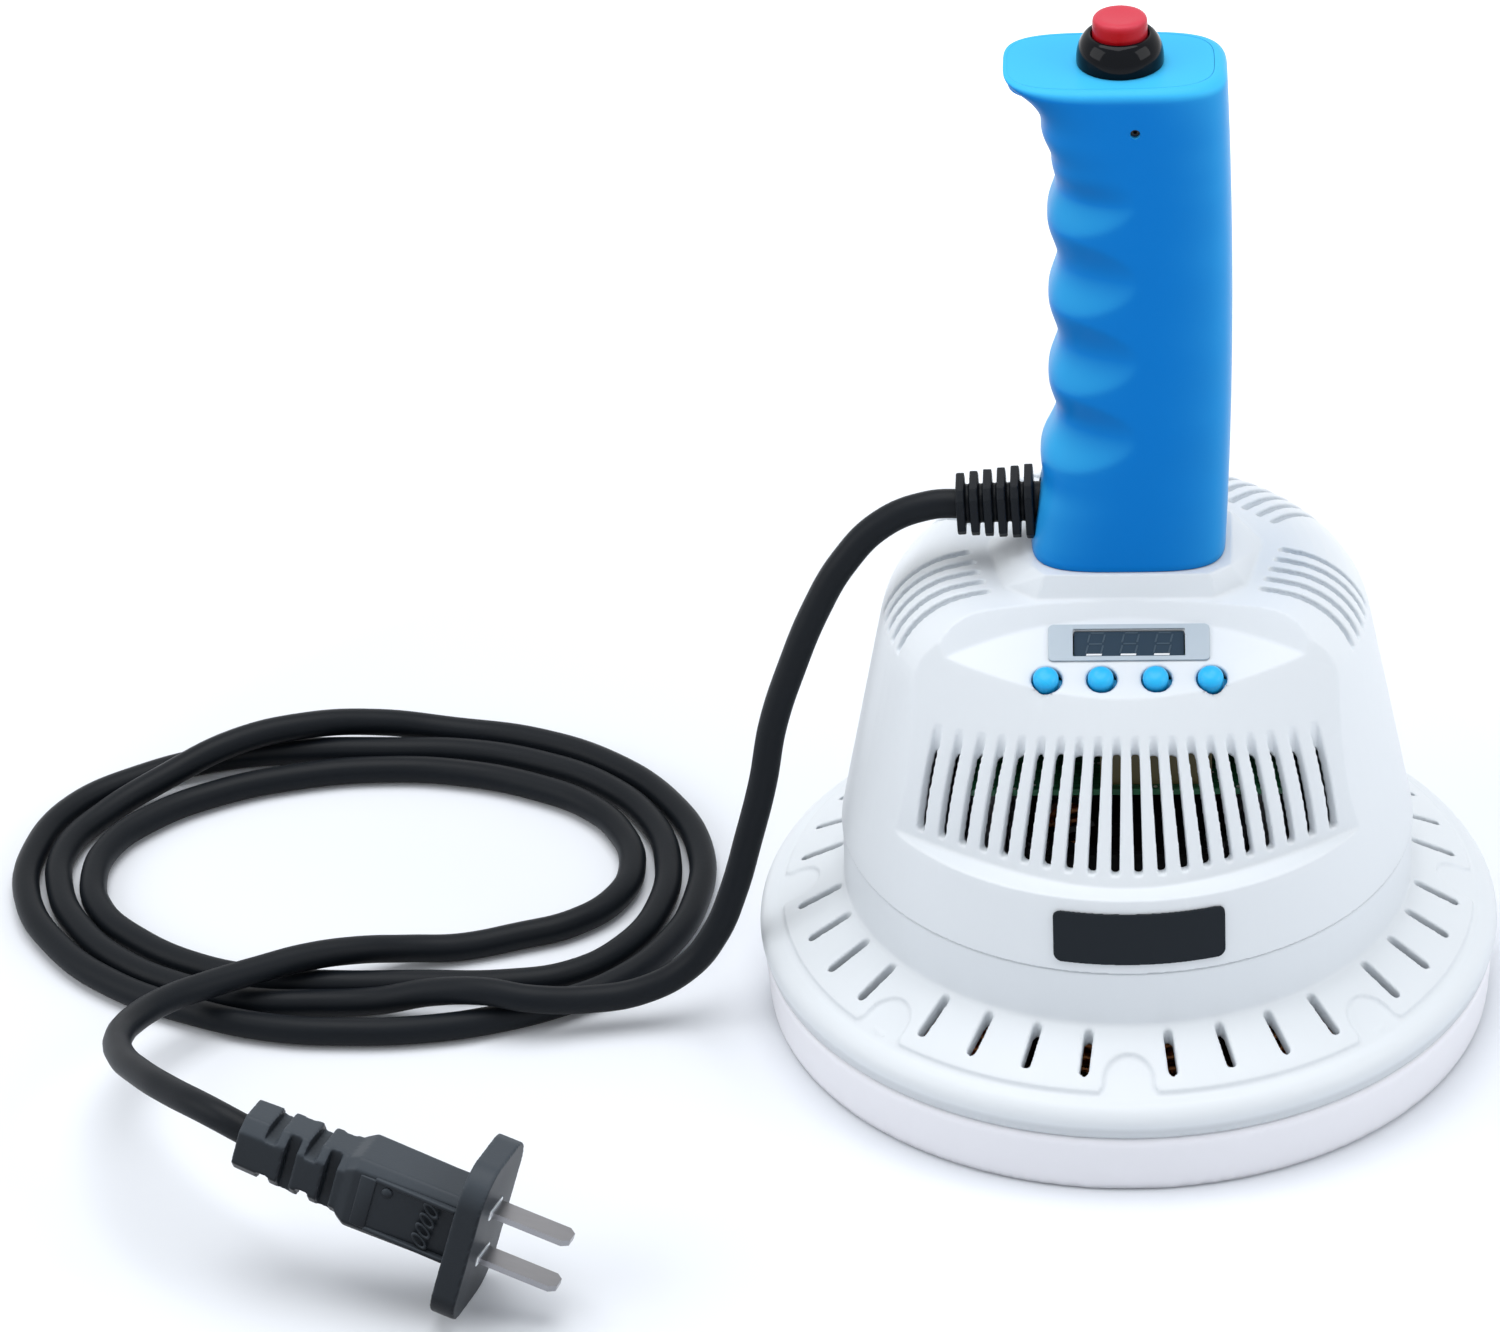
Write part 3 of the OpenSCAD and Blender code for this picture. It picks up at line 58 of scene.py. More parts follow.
# Mains cord
# A round black PVC cord, 7 mm thick. It leaves the strain relief, drops to the bench, lies in
# three loose turns that pass over each other, and rises a little to the plug that holds its end up.
cord_d = 0.007
route_mm = [
    (-36, 0, 135.4), (-46, 0, 134.9), (-57, -1, 130.5), (-66, -3, 121.5), (-73, -5, 109.5), (-79, -8, 95.5),
    (-84, -10, 80.5), (-87, -12, 65), (-91, -14, 50), (-95, -16, 36.5), (-100, -17, 24.5), (-107, -18, 15.5),
    (-118, -20, 10), (-131, -22, 8.8), (-145, -24, 10.4), (-157, -22, 11.3), (-170, -19, 9), (-184, -17, 5),
    (-199, -16, 3.7), (-216, -15, 3.7), (-233, -9, 3.7), (-249, 1, 3.7), (-262, 16, 3.7), (-270, 34, 3.7),
    (-271, 52, 3.7), (-263, 68, 4), (-249, 80, 7), (-232, 90, 11), (-214, 98, 11), (-196, 104, 8),
    (-176, 106, 4), (-154, 101, 3.7), (-133, 89, 3.7), (-117, 71, 3.7), (-108, 49, 3.7), (-108, 27, 3.7),
    (-114, 8, 3.7), (-126, -8, 3.7), (-140, -17, 3.7), (-154, -23, 3.7), (-171, -27, 3.7), (-190, -28, 3.7),
    (-210, -26, 3.7), (-230, -19, 3.7), (-250, -8, 3.7), (-267, 9, 3.7), (-278, 31, 3.7), (-279, 51, 3.7),
    (-272, 71, 3.7), (-256, 85, 3.7), (-236, 94, 3.7), (-214, 97, 3.7), (-193, 97, 3.7), (-172, 96, 3.7),
    (-152, 90, 3.7), (-134, 79, 3.7), (-121, 62, 3.7), (-116, 44, 3.7), (-117, 25, 3.7), (-124, 8, 3.7),
    (-137, -4, 3.7), (-154, -8, 3.7), (-174, -8, 3.7), (-194, -8, 3.7), (-213, -6, 3.7), (-231, 0, 3.7),
    (-247, 11, 3.7), (-258, 24, 3.7), (-262, 38, 3.7), (-260, 53, 3.7), (-251, 66, 3.7), (-236, 77, 3.7),
    (-215, 85, 3.7), (-193, 88, 3.7), (-172, 86, 3.7), (-152, 79, 3.7), (-138, 70, 3.7), (-129, 58, 3.7),
    (-125, 43, 3.7), (-128, 29, 3.7), (-138, 18, 3.7), (-152, 12, 3.7), (-166, 7.5, 3.7), (-178, 4.5, 5.5),
    (-190, -1, 9), (-202, -7, 11.2), (-213, -14, 12.4), (-224, -22, 13.8), (-233, -31, 15.8), (-239, -42, 18.3),
    (-241, -55, 22), (-238, -69, 26.8), (-231, -83, 32), (-222, -96, 36.4), (-211, -107, 38.6), (-199, -113, 35.29),
]
bpy.ops.object.select_all(action="DESELECT")
bpy.ops.curve.primitive_bezier_curve_add()
cord = bpy.context.object
cord.name = "mains_cord"
cord.data.splines.clear()
spline = cord.data.splines.new("BEZIER")
spline.bezier_points.add(len(route_mm) - 1)
for point, place in zip(spline.bezier_points, route_mm):
    point.co = Vector(place) / 1000
    point.handle_left_type = point.handle_right_type = "AUTO"
cord.data.dimensions = "3D"
cord.data.resolution_u = 8
cord.data.bevel_depth = cord_d / 2
cord.data.bevel_resolution = 6
cord.data.use_fill_caps = True


# Finish of moulded plastic, with painted light and shade
# All the plastic pieces were moulded in eroded steel tools, so each has a fine even grain, and its
# gloss drifts a little over the surface. Light and shade are painted into the colour: it is mixed towards
# a paler lit colour where the surface faces up or aside, and painted darker where it faces down.
skin = bpy.data.node_groups.new("moulded_skin_and_painted_light", "ShaderNodeTree")
for label, kind, value in (("Colour", "NodeSocketColor", (0.8, 0.8, 0.8, 1)),
                           ("Painted_Lit_Colour", "NodeSocketColor", (0.8, 0.8, 0.8, 1)),
                           ("Lift", "NodeSocketFloat", 0.0), ("Drift", "NodeSocketFloat", 0.04),
                           ("Gloss", "NodeSocketFloat", 0.4), ("Grain", "NodeSocketFloat", 3500.0),
                           ("Depth", "NodeSocketFloat", 0.05)):
    socket = skin.interface.new_socket(label, in_out="INPUT", socket_type=kind)
    socket.default_value = value
for label, kind in (("Colour", "NodeSocketColor"), ("Roughness", "NodeSocketFloat"), ("Normal", "NodeSocketVector")):
    skin.interface.new_socket(label, in_out="OUTPUT", socket_type=kind)
inlet = skin.nodes.new("NodeGroupInput")
outlet = skin.nodes.new("NodeGroupOutput")
where = skin.nodes.new("ShaderNodeTexCoord")
cloud = skin.nodes.new("ShaderNodeTexNoise")
cloud.inputs["Scale"].default_value = 28
cloud.inputs["Detail"].default_value = 3
grain = skin.nodes.new("ShaderNodeTexNoise")
grain.inputs["Detail"].default_value = 2
facing = skin.nodes.new("ShaderNodeNewGeometry")
parts = skin.nodes.new("ShaderNodeSeparateXYZ")
# Painted light: a paler lit colour is mixed in where the surface faces up or to either side.
painted_top_light = skin.nodes.new("ShaderNodeMapRange")
painted_top_light.inputs["From Max"].default_value = 0.8
# Painted shade: the tone is darkened down to 0.66 where the surface faces down.
painted_underside_shade = skin.nodes.new("ShaderNodeMapRange")
painted_underside_shade.inputs["From Min"].default_value = -0.45
painted_underside_shade.inputs["From Max"].default_value = 0
painted_underside_shade.inputs["To Min"].default_value = 0.66
painted_side_light = skin.nodes.new("ShaderNodeMath")
painted_side_light.operation = "MAXIMUM"
painted_left_light = skin.nodes.new("ShaderNodeMath")
painted_left_light.operation = "MULTIPLY"
painted_left_light.inputs[1].default_value = -0.3
painted_light_sum = skin.nodes.new("ShaderNodeMath")
painted_light_sum.operation = "MULTIPLY_ADD"
painted_light_sum.inputs[1].default_value = 0.4
painted_light = skin.nodes.new("ShaderNodeMath")
painted_light.operation = "MULTIPLY"
painted_light.use_clamp = True
painted_lit_mix = skin.nodes.new("ShaderNodeMix")
painted_lit_mix.data_type = "RGBA"
swing = skin.nodes.new("ShaderNodeMath")
swing.operation = "SUBTRACT"
swing.inputs[1].default_value = 0.5
amount = skin.nodes.new("ShaderNodeMath")
amount.operation = "MULTIPLY"
drift_and_painted_shade = skin.nodes.new("ShaderNodeMath")
drift_and_painted_shade.operation = "ADD"
tone = skin.nodes.new("ShaderNodeHueSaturation")
rough = skin.nodes.new("ShaderNodeMath")
rough.operation = "MULTIPLY_ADD"
rough.inputs[1].default_value = 1.2
bump = skin.nodes.new("ShaderNodeBump")
bump.inputs["Distance"].default_value = 0.0002
for source, target in (
        (where.outputs["Object"], cloud.inputs["Vector"]), (where.outputs["Object"], grain.inputs["Vector"]),
        (inlet.outputs["Grain"], grain.inputs["Scale"]), (cloud.outputs["Fac"], swing.inputs[0]),
        (facing.outputs["Normal"], parts.inputs[0]),
        (parts.outputs["Z"], painted_top_light.inputs["Value"]), (parts.outputs["Z"], painted_underside_shade.inputs["Value"]),
        (parts.outputs["X"], painted_side_light.inputs[0]), (parts.outputs["X"], painted_left_light.inputs[0]),
        (painted_left_light.outputs[0], painted_side_light.inputs[1]), (painted_side_light.outputs[0], painted_light_sum.inputs[0]),
        (painted_top_light.outputs["Result"], painted_light_sum.inputs[2]), (painted_light_sum.outputs[0], painted_light.inputs[0]),
        (inlet.outputs["Lift"], painted_light.inputs[1]), (painted_light.outputs[0], painted_lit_mix.inputs["Factor"]),
        (inlet.outputs["Colour"], painted_lit_mix.inputs["A"]), (inlet.outputs["Painted_Lit_Colour"], painted_lit_mix.inputs["B"]),
        (swing.outputs[0], amount.inputs[0]), (inlet.outputs["Drift"], amount.inputs[1]),
        (amount.outputs[0], drift_and_painted_shade.inputs[0]), (painted_underside_shade.outputs["Result"], drift_and_painted_shade.inputs[1]),
        (drift_and_painted_shade.outputs[0], tone.inputs["Value"]), (painted_lit_mix.outputs["Result"], tone.inputs["Color"]),
        (amount.outputs[0], rough.inputs[0]), (inlet.outputs["Gloss"], rough.inputs[2]),
        (grain.outputs["Fac"], bump.inputs["Height"]), (inlet.outputs["Depth"], bump.inputs["Strength"]),
        (tone.outputs[0], outlet.inputs["Colour"]), (rough.outputs[0], outlet.inputs["Roughness"]),
        (bump.outputs[0], outlet.inputs["Normal"])):
    if target.name in ("A", "B") and target.node == painted_lit_mix:
        target = [s for s in painted_lit_mix.inputs if s.name == target.name and s.type == "RGBA"][0]
    if source.node == painted_lit_mix:
        source = [s for s in painted_lit_mix.outputs if s.type == "RGBA"][0]
    skin.links.new(source, target)


# The rim colour is a painted lit colour, mixed in where a surface faces up or aside by the given amount; every finish
# made here is also painted darker where it faces down.
def moulded_with_painted_light(name, colour, gloss, drift=0.05, grain_size=3500, depth=0.05, specular=0.5, rim=None, painted_light_by=0.0):
    finish = bpy.data.materials.new(name)
    finish.use_nodes = True
    shader = finish.node_tree.nodes["Principled BSDF"]
    surface = finish.node_tree.nodes.new("ShaderNodeGroup")
    surface.node_tree = skin
    surface.inputs["Colour"].default_value = (*colour, 1)
    surface.inputs["Painted_Lit_Colour"].default_value = (*(rim or colour), 1)
    surface.inputs["Lift"].default_value = painted_light_by
    surface.inputs["Gloss"].default_value = gloss
    surface.inputs["Drift"].default_value = drift
    surface.inputs["Grain"].default_value = grain_size
    surface.inputs["Depth"].default_value = depth
    shader.inputs["Specular IOR Level"].default_value = specular
    finish.node_tree.links.new(surface.outputs["Colour"], shader.inputs["Base Color"])
    finish.node_tree.links.new(surface.outputs["Roughness"], shader.inputs["Roughness"])
    finish.node_tree.links.new(surface.outputs["Normal"], shader.inputs["Normal"])
    return finish


def finished(piece, body, finish, slot, *replaced):
    piece.data.materials.clear()
    piece.data.materials.append(finish)
    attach(piece, body)
    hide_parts(*replaced)
    return piece


black_pvc = moulded_with_painted_light("black_pvc", (0.006, 0.008, 0.011), gloss=0.44, drift=0.25, grain_size=1800, depth=0.15,
                    specular=0.12)
finished(cord, "sealer", black_pvc, "black_rubber", "cord")


# Base tray, skirt and bell housing
# White satin ABS mouldings, screwed together from below. Each is a copy of the CAD piece, remade as one
# even skin and eased, so that its edges are round as a moulding's are. The louvres are then cut deeper.
def softened(node, voxel_mm, triangles, passes=6, before=None, after=None):
    coarse = 1
    bpy.ops.object.select_all(action="DESELECT")
    nodes[node].select_set(True)
    bpy.context.view_layer.objects.active = nodes[node]
    bpy.ops.object.duplicate()
    piece = bpy.context.object
    piece.name = node + "_moulding"
    bpy.ops.object.mode_set(mode="EDIT")
    bpy.ops.mesh.select_all(action="SELECT")
    bpy.ops.mesh.remove_doubles(threshold=0.00001)
    bpy.ops.object.mode_set(mode="OBJECT")
    bpy.ops.mesh.customdata_custom_splitnormals_clear()
    if before:
        for vertex in piece.data.vertices:
            vertex.co = before(vertex.co)
    even = piece.modifiers.new("even_skin", "REMESH")
    even.mode = "VOXEL"
    even.voxel_size = voxel_mm * coarse / 1000
    even.use_smooth_shade = True
    bpy.ops.object.modifier_apply(modifier="even_skin")
    ease = piece.modifiers.new("ease", "SMOOTH")
    ease.factor = 0.5
    ease.iterations = passes
    bpy.ops.object.modifier_apply(modifier="ease")
    if after:
        for vertex in piece.data.vertices:
            vertex.co = after(vertex.co)
    fewer = piece.modifiers.new("fewer", "DECIMATE")
    fewer.ratio = min(1, triangles / coarse / (2 * len(piece.data.polygons)))
    bpy.ops.object.modifier_apply(modifier="fewer")
    bpy.ops.object.shade_smooth()
    return piece


white_abs = moulded_with_painted_light("white_abs", (0.715, 0.755, 0.795), gloss=0.38, drift=0.02, grain_size=2600, depth=0.05,
                    specular=0.25)
# The tray is the same white ABS painted paler than the housing, standing in for light bounced up from the bench.
tray_abs_painted_paler = moulded_with_painted_light("tray_abs_painted_paler", (0.89, 0.89, 0.935), gloss=0.4, drift=0.02, grain_size=2600, depth=0.05,
                   specular=0.25)
tray = softened("base_tray", voxel_mm=0.9, triangles=40000)
finished(tray, "sealer", tray_abs_painted_paler, "white_abs", "base_tray")
skirt = softened("skirt_cover", voxel_mm=0.42, triangles=140000, passes=4)
finished(skirt, "sealer", white_abs, "white_abs", "skirt_cover")
facet = Matrix.Translation((0, -0.041332, 0.107)) @ Matrix.Rotation(math.radians(25), 4, "X")
facet_back = facet.inverted()
label_x, key_pitch, key_row = 0.9, 12.7, 5.6
key_places = [label_x + (index - 1.5) * key_pitch for index in range(4)]
hole_r, hole_edge = 3.6, 0.4


def round_holes(place):
    if not 0.1 < place.z < 0.118 or place.y > -0.025:
        return place
    x, y, z = facet_back @ place * 1000
    if not -2.4 < z < 0.4:
        return place
    for key_place in key_places:
        far = math.hypot(x - key_place, y - key_row)
        if 2.5 < far < 4.3:
            wide = hole_r
            if z >= -hole_edge:
                sunk = min(0, z) + hole_edge
                wide = max(far, hole_r + hole_edge - math.sqrt(max(0, hole_edge ** 2 - sunk ** 2)))
            spread = wide / far
            moved = Vector((key_place + (x - key_place) * spread, key_row + (y - key_row) * spread, z))
            return facet @ (moved / 1000)
    return place


housing = softened("upper_housing", voxel_mm=0.4, triangles=190000, passes=3, after=round_holes)
groove_pitch, groove_half, groove_deeper = 4.55, 0.95, 0.9
groove_start, groove_end_z, fade = 34.1, 107, 2
louvre_rows = ((-16, 4.2, 5, groove_start), (45, 0, 7, groove_start + 1.6))
ways = [vertex.normal.copy() for vertex in housing.data.vertices]
for vertex, way in zip(housing.data.vertices, ways):
    x, y, z = vertex.co * 1000
    if z < groove_end_z or way.z < 0.15:
        continue
    for turn, shift, count, start in louvre_rows:
        c, s = math.cos(math.radians(turn)), math.sin(math.radians(turn))
        along = abs(x) * c + y * s
        row = (y * c - abs(x) * s - shift) / groove_pitch + (count - 1) / 2
        off = abs(row - round(row)) * groove_pitch
        if along > start and -0.4 < row < count - 0.6 and off < groove_half:
            deep = groove_deeper * min(1, (along - start) / fade) * min(1, (z - groove_end_z) / fade)
            deep *= math.cos(math.pi / 2 * off / groove_half) ** 0.5
            vertex.co = vertex.co - way * deep / 1000
            break
finished(housing, "sealer", white_abs, "white_abs", "upper_housing")


# Handle
# A blue satin ABS shell, screwed down through the housing's roof, with scoops for four fingers and a wall
# of even thickness. It is skinned over outlines at many heights, and the holes are then drilled in it.
def skinned(name, rings, angle=35):
    columns, rows = len(rings[0]), len(rings) - 1
    bpy.ops.object.select_all(action="DESELECT")
    bpy.ops.mesh.primitive_grid_add(x_subdivisions=columns, y_subdivisions=rows, size=2)
    piece = bpy.context.object
    piece.name = name
    for vertex in piece.data.vertices:
        column = round((vertex.co.x + 1) / 2 * columns) % columns
        row = round((vertex.co.y + 1) / 2 * rows)
        vertex.co = Vector(rings[row][column]) / 1000
    bpy.ops.object.mode_set(mode="EDIT")
    bpy.ops.mesh.select_all(action="SELECT")
    bpy.ops.mesh.remove_doubles(threshold=0.000002)
    bpy.ops.mesh.normals_make_consistent(inside=False)
    bpy.ops.object.mode_set(mode="OBJECT")
    bpy.ops.object.shade_smooth_by_angle(angle=math.radians(angle))
    return piece


handle_foot, handle_top = 126, 250.5
handle_len = handle_top - handle_foot
finger_side, palm_side, half_depth = 16.15, 25.2, 16.5
finger_pitch, first_bump, finger_wave = 20.6, 213, 1.1
scoop_depth, scoop_reach = 2.2, 0.92
grip_low, grip_high = handle_foot + 20, handle_top - 20.5
palm_mid = handle_foot + 0.514 * handle_len
square_corner, soft_corner = 3.6, 2.8


def ramp(low, high, z):
    return min(1, max(0, (z - low) / (high - low)))


def ease_in(t):
    return t * t * (3 - 2 * t)


def grip_outline(z, margin, columns=152):
    grip = ease_in(ramp(grip_low - 8, grip_low + 6, z)) * (1 - ease_in(ramp(grip_high - 10, grip_high, z)))
    phase = (z - first_bump) / finger_pitch
    dish = 2 * (phase - math.floor(phase)) - 1
    held = 1 if z > first_bump - 3 * finger_pitch else 0
    lip = 2.2 * ease_in(ramp(229, 237, z)) + 10.2 * ramp(238, handle_top, z) ** 2.2
    flare = 5.6 * (1 - ramp(handle_foot, 165, z)) - 0.35 * ramp(165, 190, z)
    wave = finger_wave * math.cos(2 * math.pi * phase) * grip
    left = margin - (finger_side + flare + wave + lip)
    right = palm_side - 5.6 * ((z - palm_mid) / handle_len) ** 2 - margin
    ends = max(ramp(225, 244, z), 1 - ramp(130, 150, z))
    finger_corner = soft_corner + (square_corner - soft_corner) * ends
    outline = []
    for i in range(columns):
        turn = 2 * math.pi * i / columns
        c, s = math.cos(turn), math.sin(turn)
        bend = square_corner if c > 0 else finger_corner
        reach = (abs(c) ** bend + abs(s) ** bend) ** (-1 / bend)
        u, v = reach * c, reach * s
        hollow = max(0, 1 - dish ** 2 - ((u + 1) / scoop_reach) ** 2) ** 1.3
        pinch = scoop_depth * grip * held * hollow
        outline.append(((left + right) / 2 + (right - left) / 2 * u, v * (half_depth - margin - pinch), z))
    return outline


def drilled(piece, holes):
    bpy.ops.object.select_all(action="DESELECT")
    for radius, length, place, way in holes:
        bpy.ops.mesh.primitive_cylinder_add(vertices=40, radius=radius / 1000, depth=length / 1000)
        drill = bpy.context.object
        aim = Vector(way).to_track_quat("Z", "Y").to_matrix().to_4x4()
        drill.data.transform(Matrix.Translation(Vector(place) / 1000) @ aim)
        cut = piece.modifiers.new("drill", "BOOLEAN")
        cut.operation = "DIFFERENCE"
        cut.solver = "EXACT"
        cut.object = drill
        bpy.context.view_layer.objects.active = piece
        bpy.ops.object.modifier_apply(modifier="drill")
        bpy.data.objects.remove(drill)
    return piece


cap_recess, cap_seat, top_round, wall = 2.8, handle_top - 3, 2.6, 4.6
step = 0.8
floor_z, closed = handle_foot + 3.5, 25
rows = [(floor_z, closed)]
rows += [(floor_z + (cap_seat - floor_z) * k / 56, wall) for k in range(57)]
rows += [(cap_seat, cap_recess), (handle_top - 0.06, cap_recess), (handle_top, cap_recess - 0.05)]
rows += [(handle_top - top_round + top_round * math.cos(a), top_round - top_round * math.sin(a))
         for a in (math.pi / 2 * k / 10 for k in range(11))]
top_row = handle_top - top_round
rows += [(top_row - step * k, 0) for k in range(1, int((top_row - handle_foot - 1) / step))]
rows += [(handle_foot + 0.5, 0), (handle_foot + 0.15, 0.12), (handle_foot, 0.45), (handle_foot, closed)]
shell = skinned("handle_shell_moulding", [
    [(2, 0, z)] * 152 if margin == closed else grip_outline(z, margin) for z, margin in rows])
set_screw_hole = (1.15, 12, (3.2, -16, 240.5), (0, 1, 0))
relief_hole = (5.4, 14, (-22, 0, 136), (1, 0, 0.035))
wire_hole = (4, 9, (5, 0, 127), (0, 0, 1))
drilled(shell, (set_screw_hole, relief_hole, wire_hole))
bpy.ops.object.shade_smooth_by_angle(angle=math.radians(35))
# The blue is painted towards a paler cyan where the shell faces up or aside, as if lit, and darker where it faces
# down.
blue_abs = moulded_with_painted_light("blue_abs", (0.0, 0.165, 0.54), gloss=0.33, drift=0.03, grain_size=2600, depth=0.04,
                   specular=0.06, rim=(0.05, 0.46, 0.82), painted_light_by=1.0)
finished(shell, "sealer", blue_abs, "blue_abs", "handle_shell")


# Handle cap
# A blue plate set into the handle's top, held by a set screw through the handle's front. A hole in
# its middle takes the switch.
def ring_of(radius, z, columns=152, centre=(0, 0)):
    return [(centre[0] + radius * math.cos(2 * math.pi * i / columns),
             centre[1] + radius * math.sin(2 * math.pi * i / columns), z) for i in range(columns)]


cap_gap, switch_hole = 0.06, 7.65
rim = cap_recess + cap_gap
cap_edge = [(x, y) for x, y, z in grip_outline(handle_top, rim)]
cap = skinned("handle_cap_moulding", [
    ring_of(switch_hole, cap_seat), [(x, y, cap_seat) for x, y in cap_edge],
    [(x, y, handle_top - 0.06) for x, y in cap_edge], grip_outline(handle_top, rim + 0.05),
    grip_outline(handle_top, rim + 0.6), ring_of(switch_hole, handle_top), ring_of(switch_hole, cap_seat)])
finished(cap, "sealer", blue_abs, "blue_abs", "handle_cap")


# Trigger switch
# A gloss black bezel, whose threaded barrel goes down through the cap to a nut, and a red button
# that slides in it. Both are turned forms.
black_gloss = moulded_with_painted_light("black_gloss", (0.002, 0.003, 0.005), gloss=0.1, drift=0.15, grain_size=900, depth=0.02,
                      specular=0.13)
# The red is painted towards a paler red where the button faces up or aside, as if lit.
red_gloss = moulded_with_painted_light("red_gloss", (0.40, 0.001, 0.004), gloss=0.22, drift=0.05, grain_size=900, depth=0.03,
                    specular=0.07, rim=(0.58, 0.06, 0.09), painted_light_by=0.9)
bezel_profile = [(2.7, -11), (7.5, -11), (7.5, 0.02), (9.7, 0.02), (9.82, 0.1), (9.88, 0.4), (9.86, 1.6), (9.72, 2.9),
                 (9.4, 4.2), (8.9, 5.4), (8.25, 6.4), (7.6, 7), (7.1, 7.2), (6.75, 7.15), (6.5, 6.9), (6.4, 6.5),
                 (6.4, -8), (2.7, -8), (2.7, -11)]
bezel = skinned("switch_bezel_turned", [ring_of(r, handle_top + z, 96) for r, z in bezel_profile], 40)
finished(bezel, "sealer", black_gloss, "black_gloss", "switch_bezel")
button_profile = [(0, -16), (2.4, -16), (2.4, -4.6), (5.6, -4.6), (6.2, -4.4), (6.2, 9.6), (6.15, 10.2), (6.0, 10.7),
                  (5.7, 11.05), (5.2, 11.25), (4.6, 11.3), (3.6, 11.22), (1.8, 11.12), (0, 11.1)]
button = skinned("trigger_button_turned", [ring_of(r, handle_top + z, 96) for r, z in button_profile], 40)
finished(button, "trigger", red_gloss, "red_button", "trigger_button")


# Keys
# Four sky-blue domed keys with two wings each that keep them in, under the control facet. Each sits a little
# to the left in its hole, which shows as a dark crescent on its right.
# The keys' blue is painted paler where they face up or aside, as if lit.
key_blue = moulded_with_painted_light("key_blue", (0.008, 0.36, 0.76), gloss=0.28, drift=0.05, grain_size=900, depth=0.02,
                   specular=0.2, rim=(0.03, 0.47, 0.84), painted_light_by=1.0)
key_profile = [(0, -6), (2.9, -6), (3.0, -5.9), (3.0, 0.35), (2.96, 0.65), (2.86, 0.98), (2.66, 1.33), (2.36, 1.65),
               (1.95, 1.9), (1.4, 2.1), (0.75, 2.2), (0, 2.23)]
key_shift = 0.25
key_bodies = ("start_key", "up_key", "down_key", "set_key")
for index, body in enumerate(key_bodies):
    node = "key_%d" % (index + 1)
    key = skinned(node + "_dome", [ring_of(r, z, 64) for r, z in key_profile], 50)
    key_at = Vector((key_places[index] - key_shift, key_row, 0)) / 1000
    bpy.ops.mesh.primitive_cube_add(size=0.001)
    wings = bpy.context.object
    wings.data.transform(Matrix.Translation((0, 0, -0.0033)) @ Matrix.Diagonal((8.4, 3, 1, 1)))
    key.select_set(True)
    bpy.context.view_layer.objects.active = key
    bpy.ops.object.join()
    key.data.transform(facet @ Matrix.Translation(key_at))
    finished(key, body, key_blue, "blue_key", node)


# Badge
# A bare charcoal plate glued to the band below the grille, which it follows.
badge_black = moulded_with_painted_light("badge_black", (0.014, 0.018, 0.023), gloss=0.42, drift=0.12, grain_size=900, depth=0.03,
                      specular=0.08)
badge = softened("badge_plate", voxel_mm=0.22, triangles=16000, passes=4)
finished(badge, "sealer", badge_black, "badge", "badge_plate")


# Label and display
# A silver film label on the control facet, with a window over a grey liquid crystal module. The module shows
# three bars, and its other segments are faint ghosts.
label_silver = moulded_with_painted_light("label_silver", (0.43, 0.50, 0.56), gloss=0.36, drift=0.06, grain_size=700, depth=0.05,
                       specular=0.25)
film = softened("display_label", voxel_mm=0.15, triangles=24000, passes=3)
finished(film, "sealer", label_silver, "label", "display_label")
glass_grey = moulded_with_painted_light("glass_grey", (0.03, 0.052, 0.078), gloss=0.34, drift=0.1, grain_size=900, depth=0.01,
                     specular=0.05)
ghost_grey = moulded_with_painted_light("ghost_grey", (0.06, 0.09, 0.12), gloss=0.34, drift=0.1, grain_size=900, depth=0.01,
                     specular=0.05)
bar_white = moulded_with_painted_light("bar_white", (0.78, 0.80, 0.82), gloss=0.3, drift=0.04, grain_size=900, depth=0.01)
for index in range(len(nodes["display_module"].data.materials)):
    nodes["display_module"].data.materials[index] = glass_grey


window_y, bar_z, slant = 15.4, -0.24, 0.25


def plates(name, boxes, finish):
    made = []
    for x, y, width, height, lean in boxes:
        bpy.ops.object.select_all(action="DESELECT")
        bpy.ops.mesh.primitive_cube_add(size=0.001)
        bar = bpy.context.object
        shape = Matrix.Diagonal((width, height, 0.1, 1))
        shape[0][1] = lean * height
        bar.data.transform(facet @ Matrix.Translation(Vector((label_x + x, window_y + y, bar_z)) / 1000) @ shape)
        made.append(bar)
    for bar in made:
        bar.select_set(True)
    bpy.context.view_layer.objects.active = made[0]
    bpy.ops.object.join()
    piece = bpy.context.object
    piece.name = name
    edge = piece.modifiers.new("edge", "BEVEL")
    edge.width = 0.00003
    edge.segments = 1
    bpy.ops.object.modifier_apply(modifier="edge")
    return finished(piece, "sealer", finish, "display")


digits = (-8.1, -0.15, 7.6)
plates("display_bars", [(x, -2.95, 3.6, 0.5, slant) for x in digits], bar_white)
ghosts = []
for x in digits:
    ghosts += [(x + 0.75, 3.0, 3.0, 0.42, slant), (x + 0.35, 0, 3.0, 0.42, slant)]
    for side in (-1, 1):
        ghosts += [(x + side * 1.75 + lean, y, 0.42, 2.2, slant) for y, lean in ((1.5, 0.55), (-1.5, 0.1))]
plates("display_ghosts", ghosts, ghost_grey)


# Strain relief
# A soft black PVC gland with six square ribs, pushed through the handle's side.
rib_scale = 0.9


def slimmer(place):
    if place.x > -0.0205:
        return place
    axis = 0.136 + 0.0349 * (place.x + 0.0191)
    return Vector((place.x, place.y * rib_scale, axis + (place.z - axis) * rib_scale))


gland = softened("strain_relief", voxel_mm=0.24, triangles=30000, passes=5, before=slimmer)
finished(gland, "sealer", black_pvc, "black_rubber", "strain_relief")


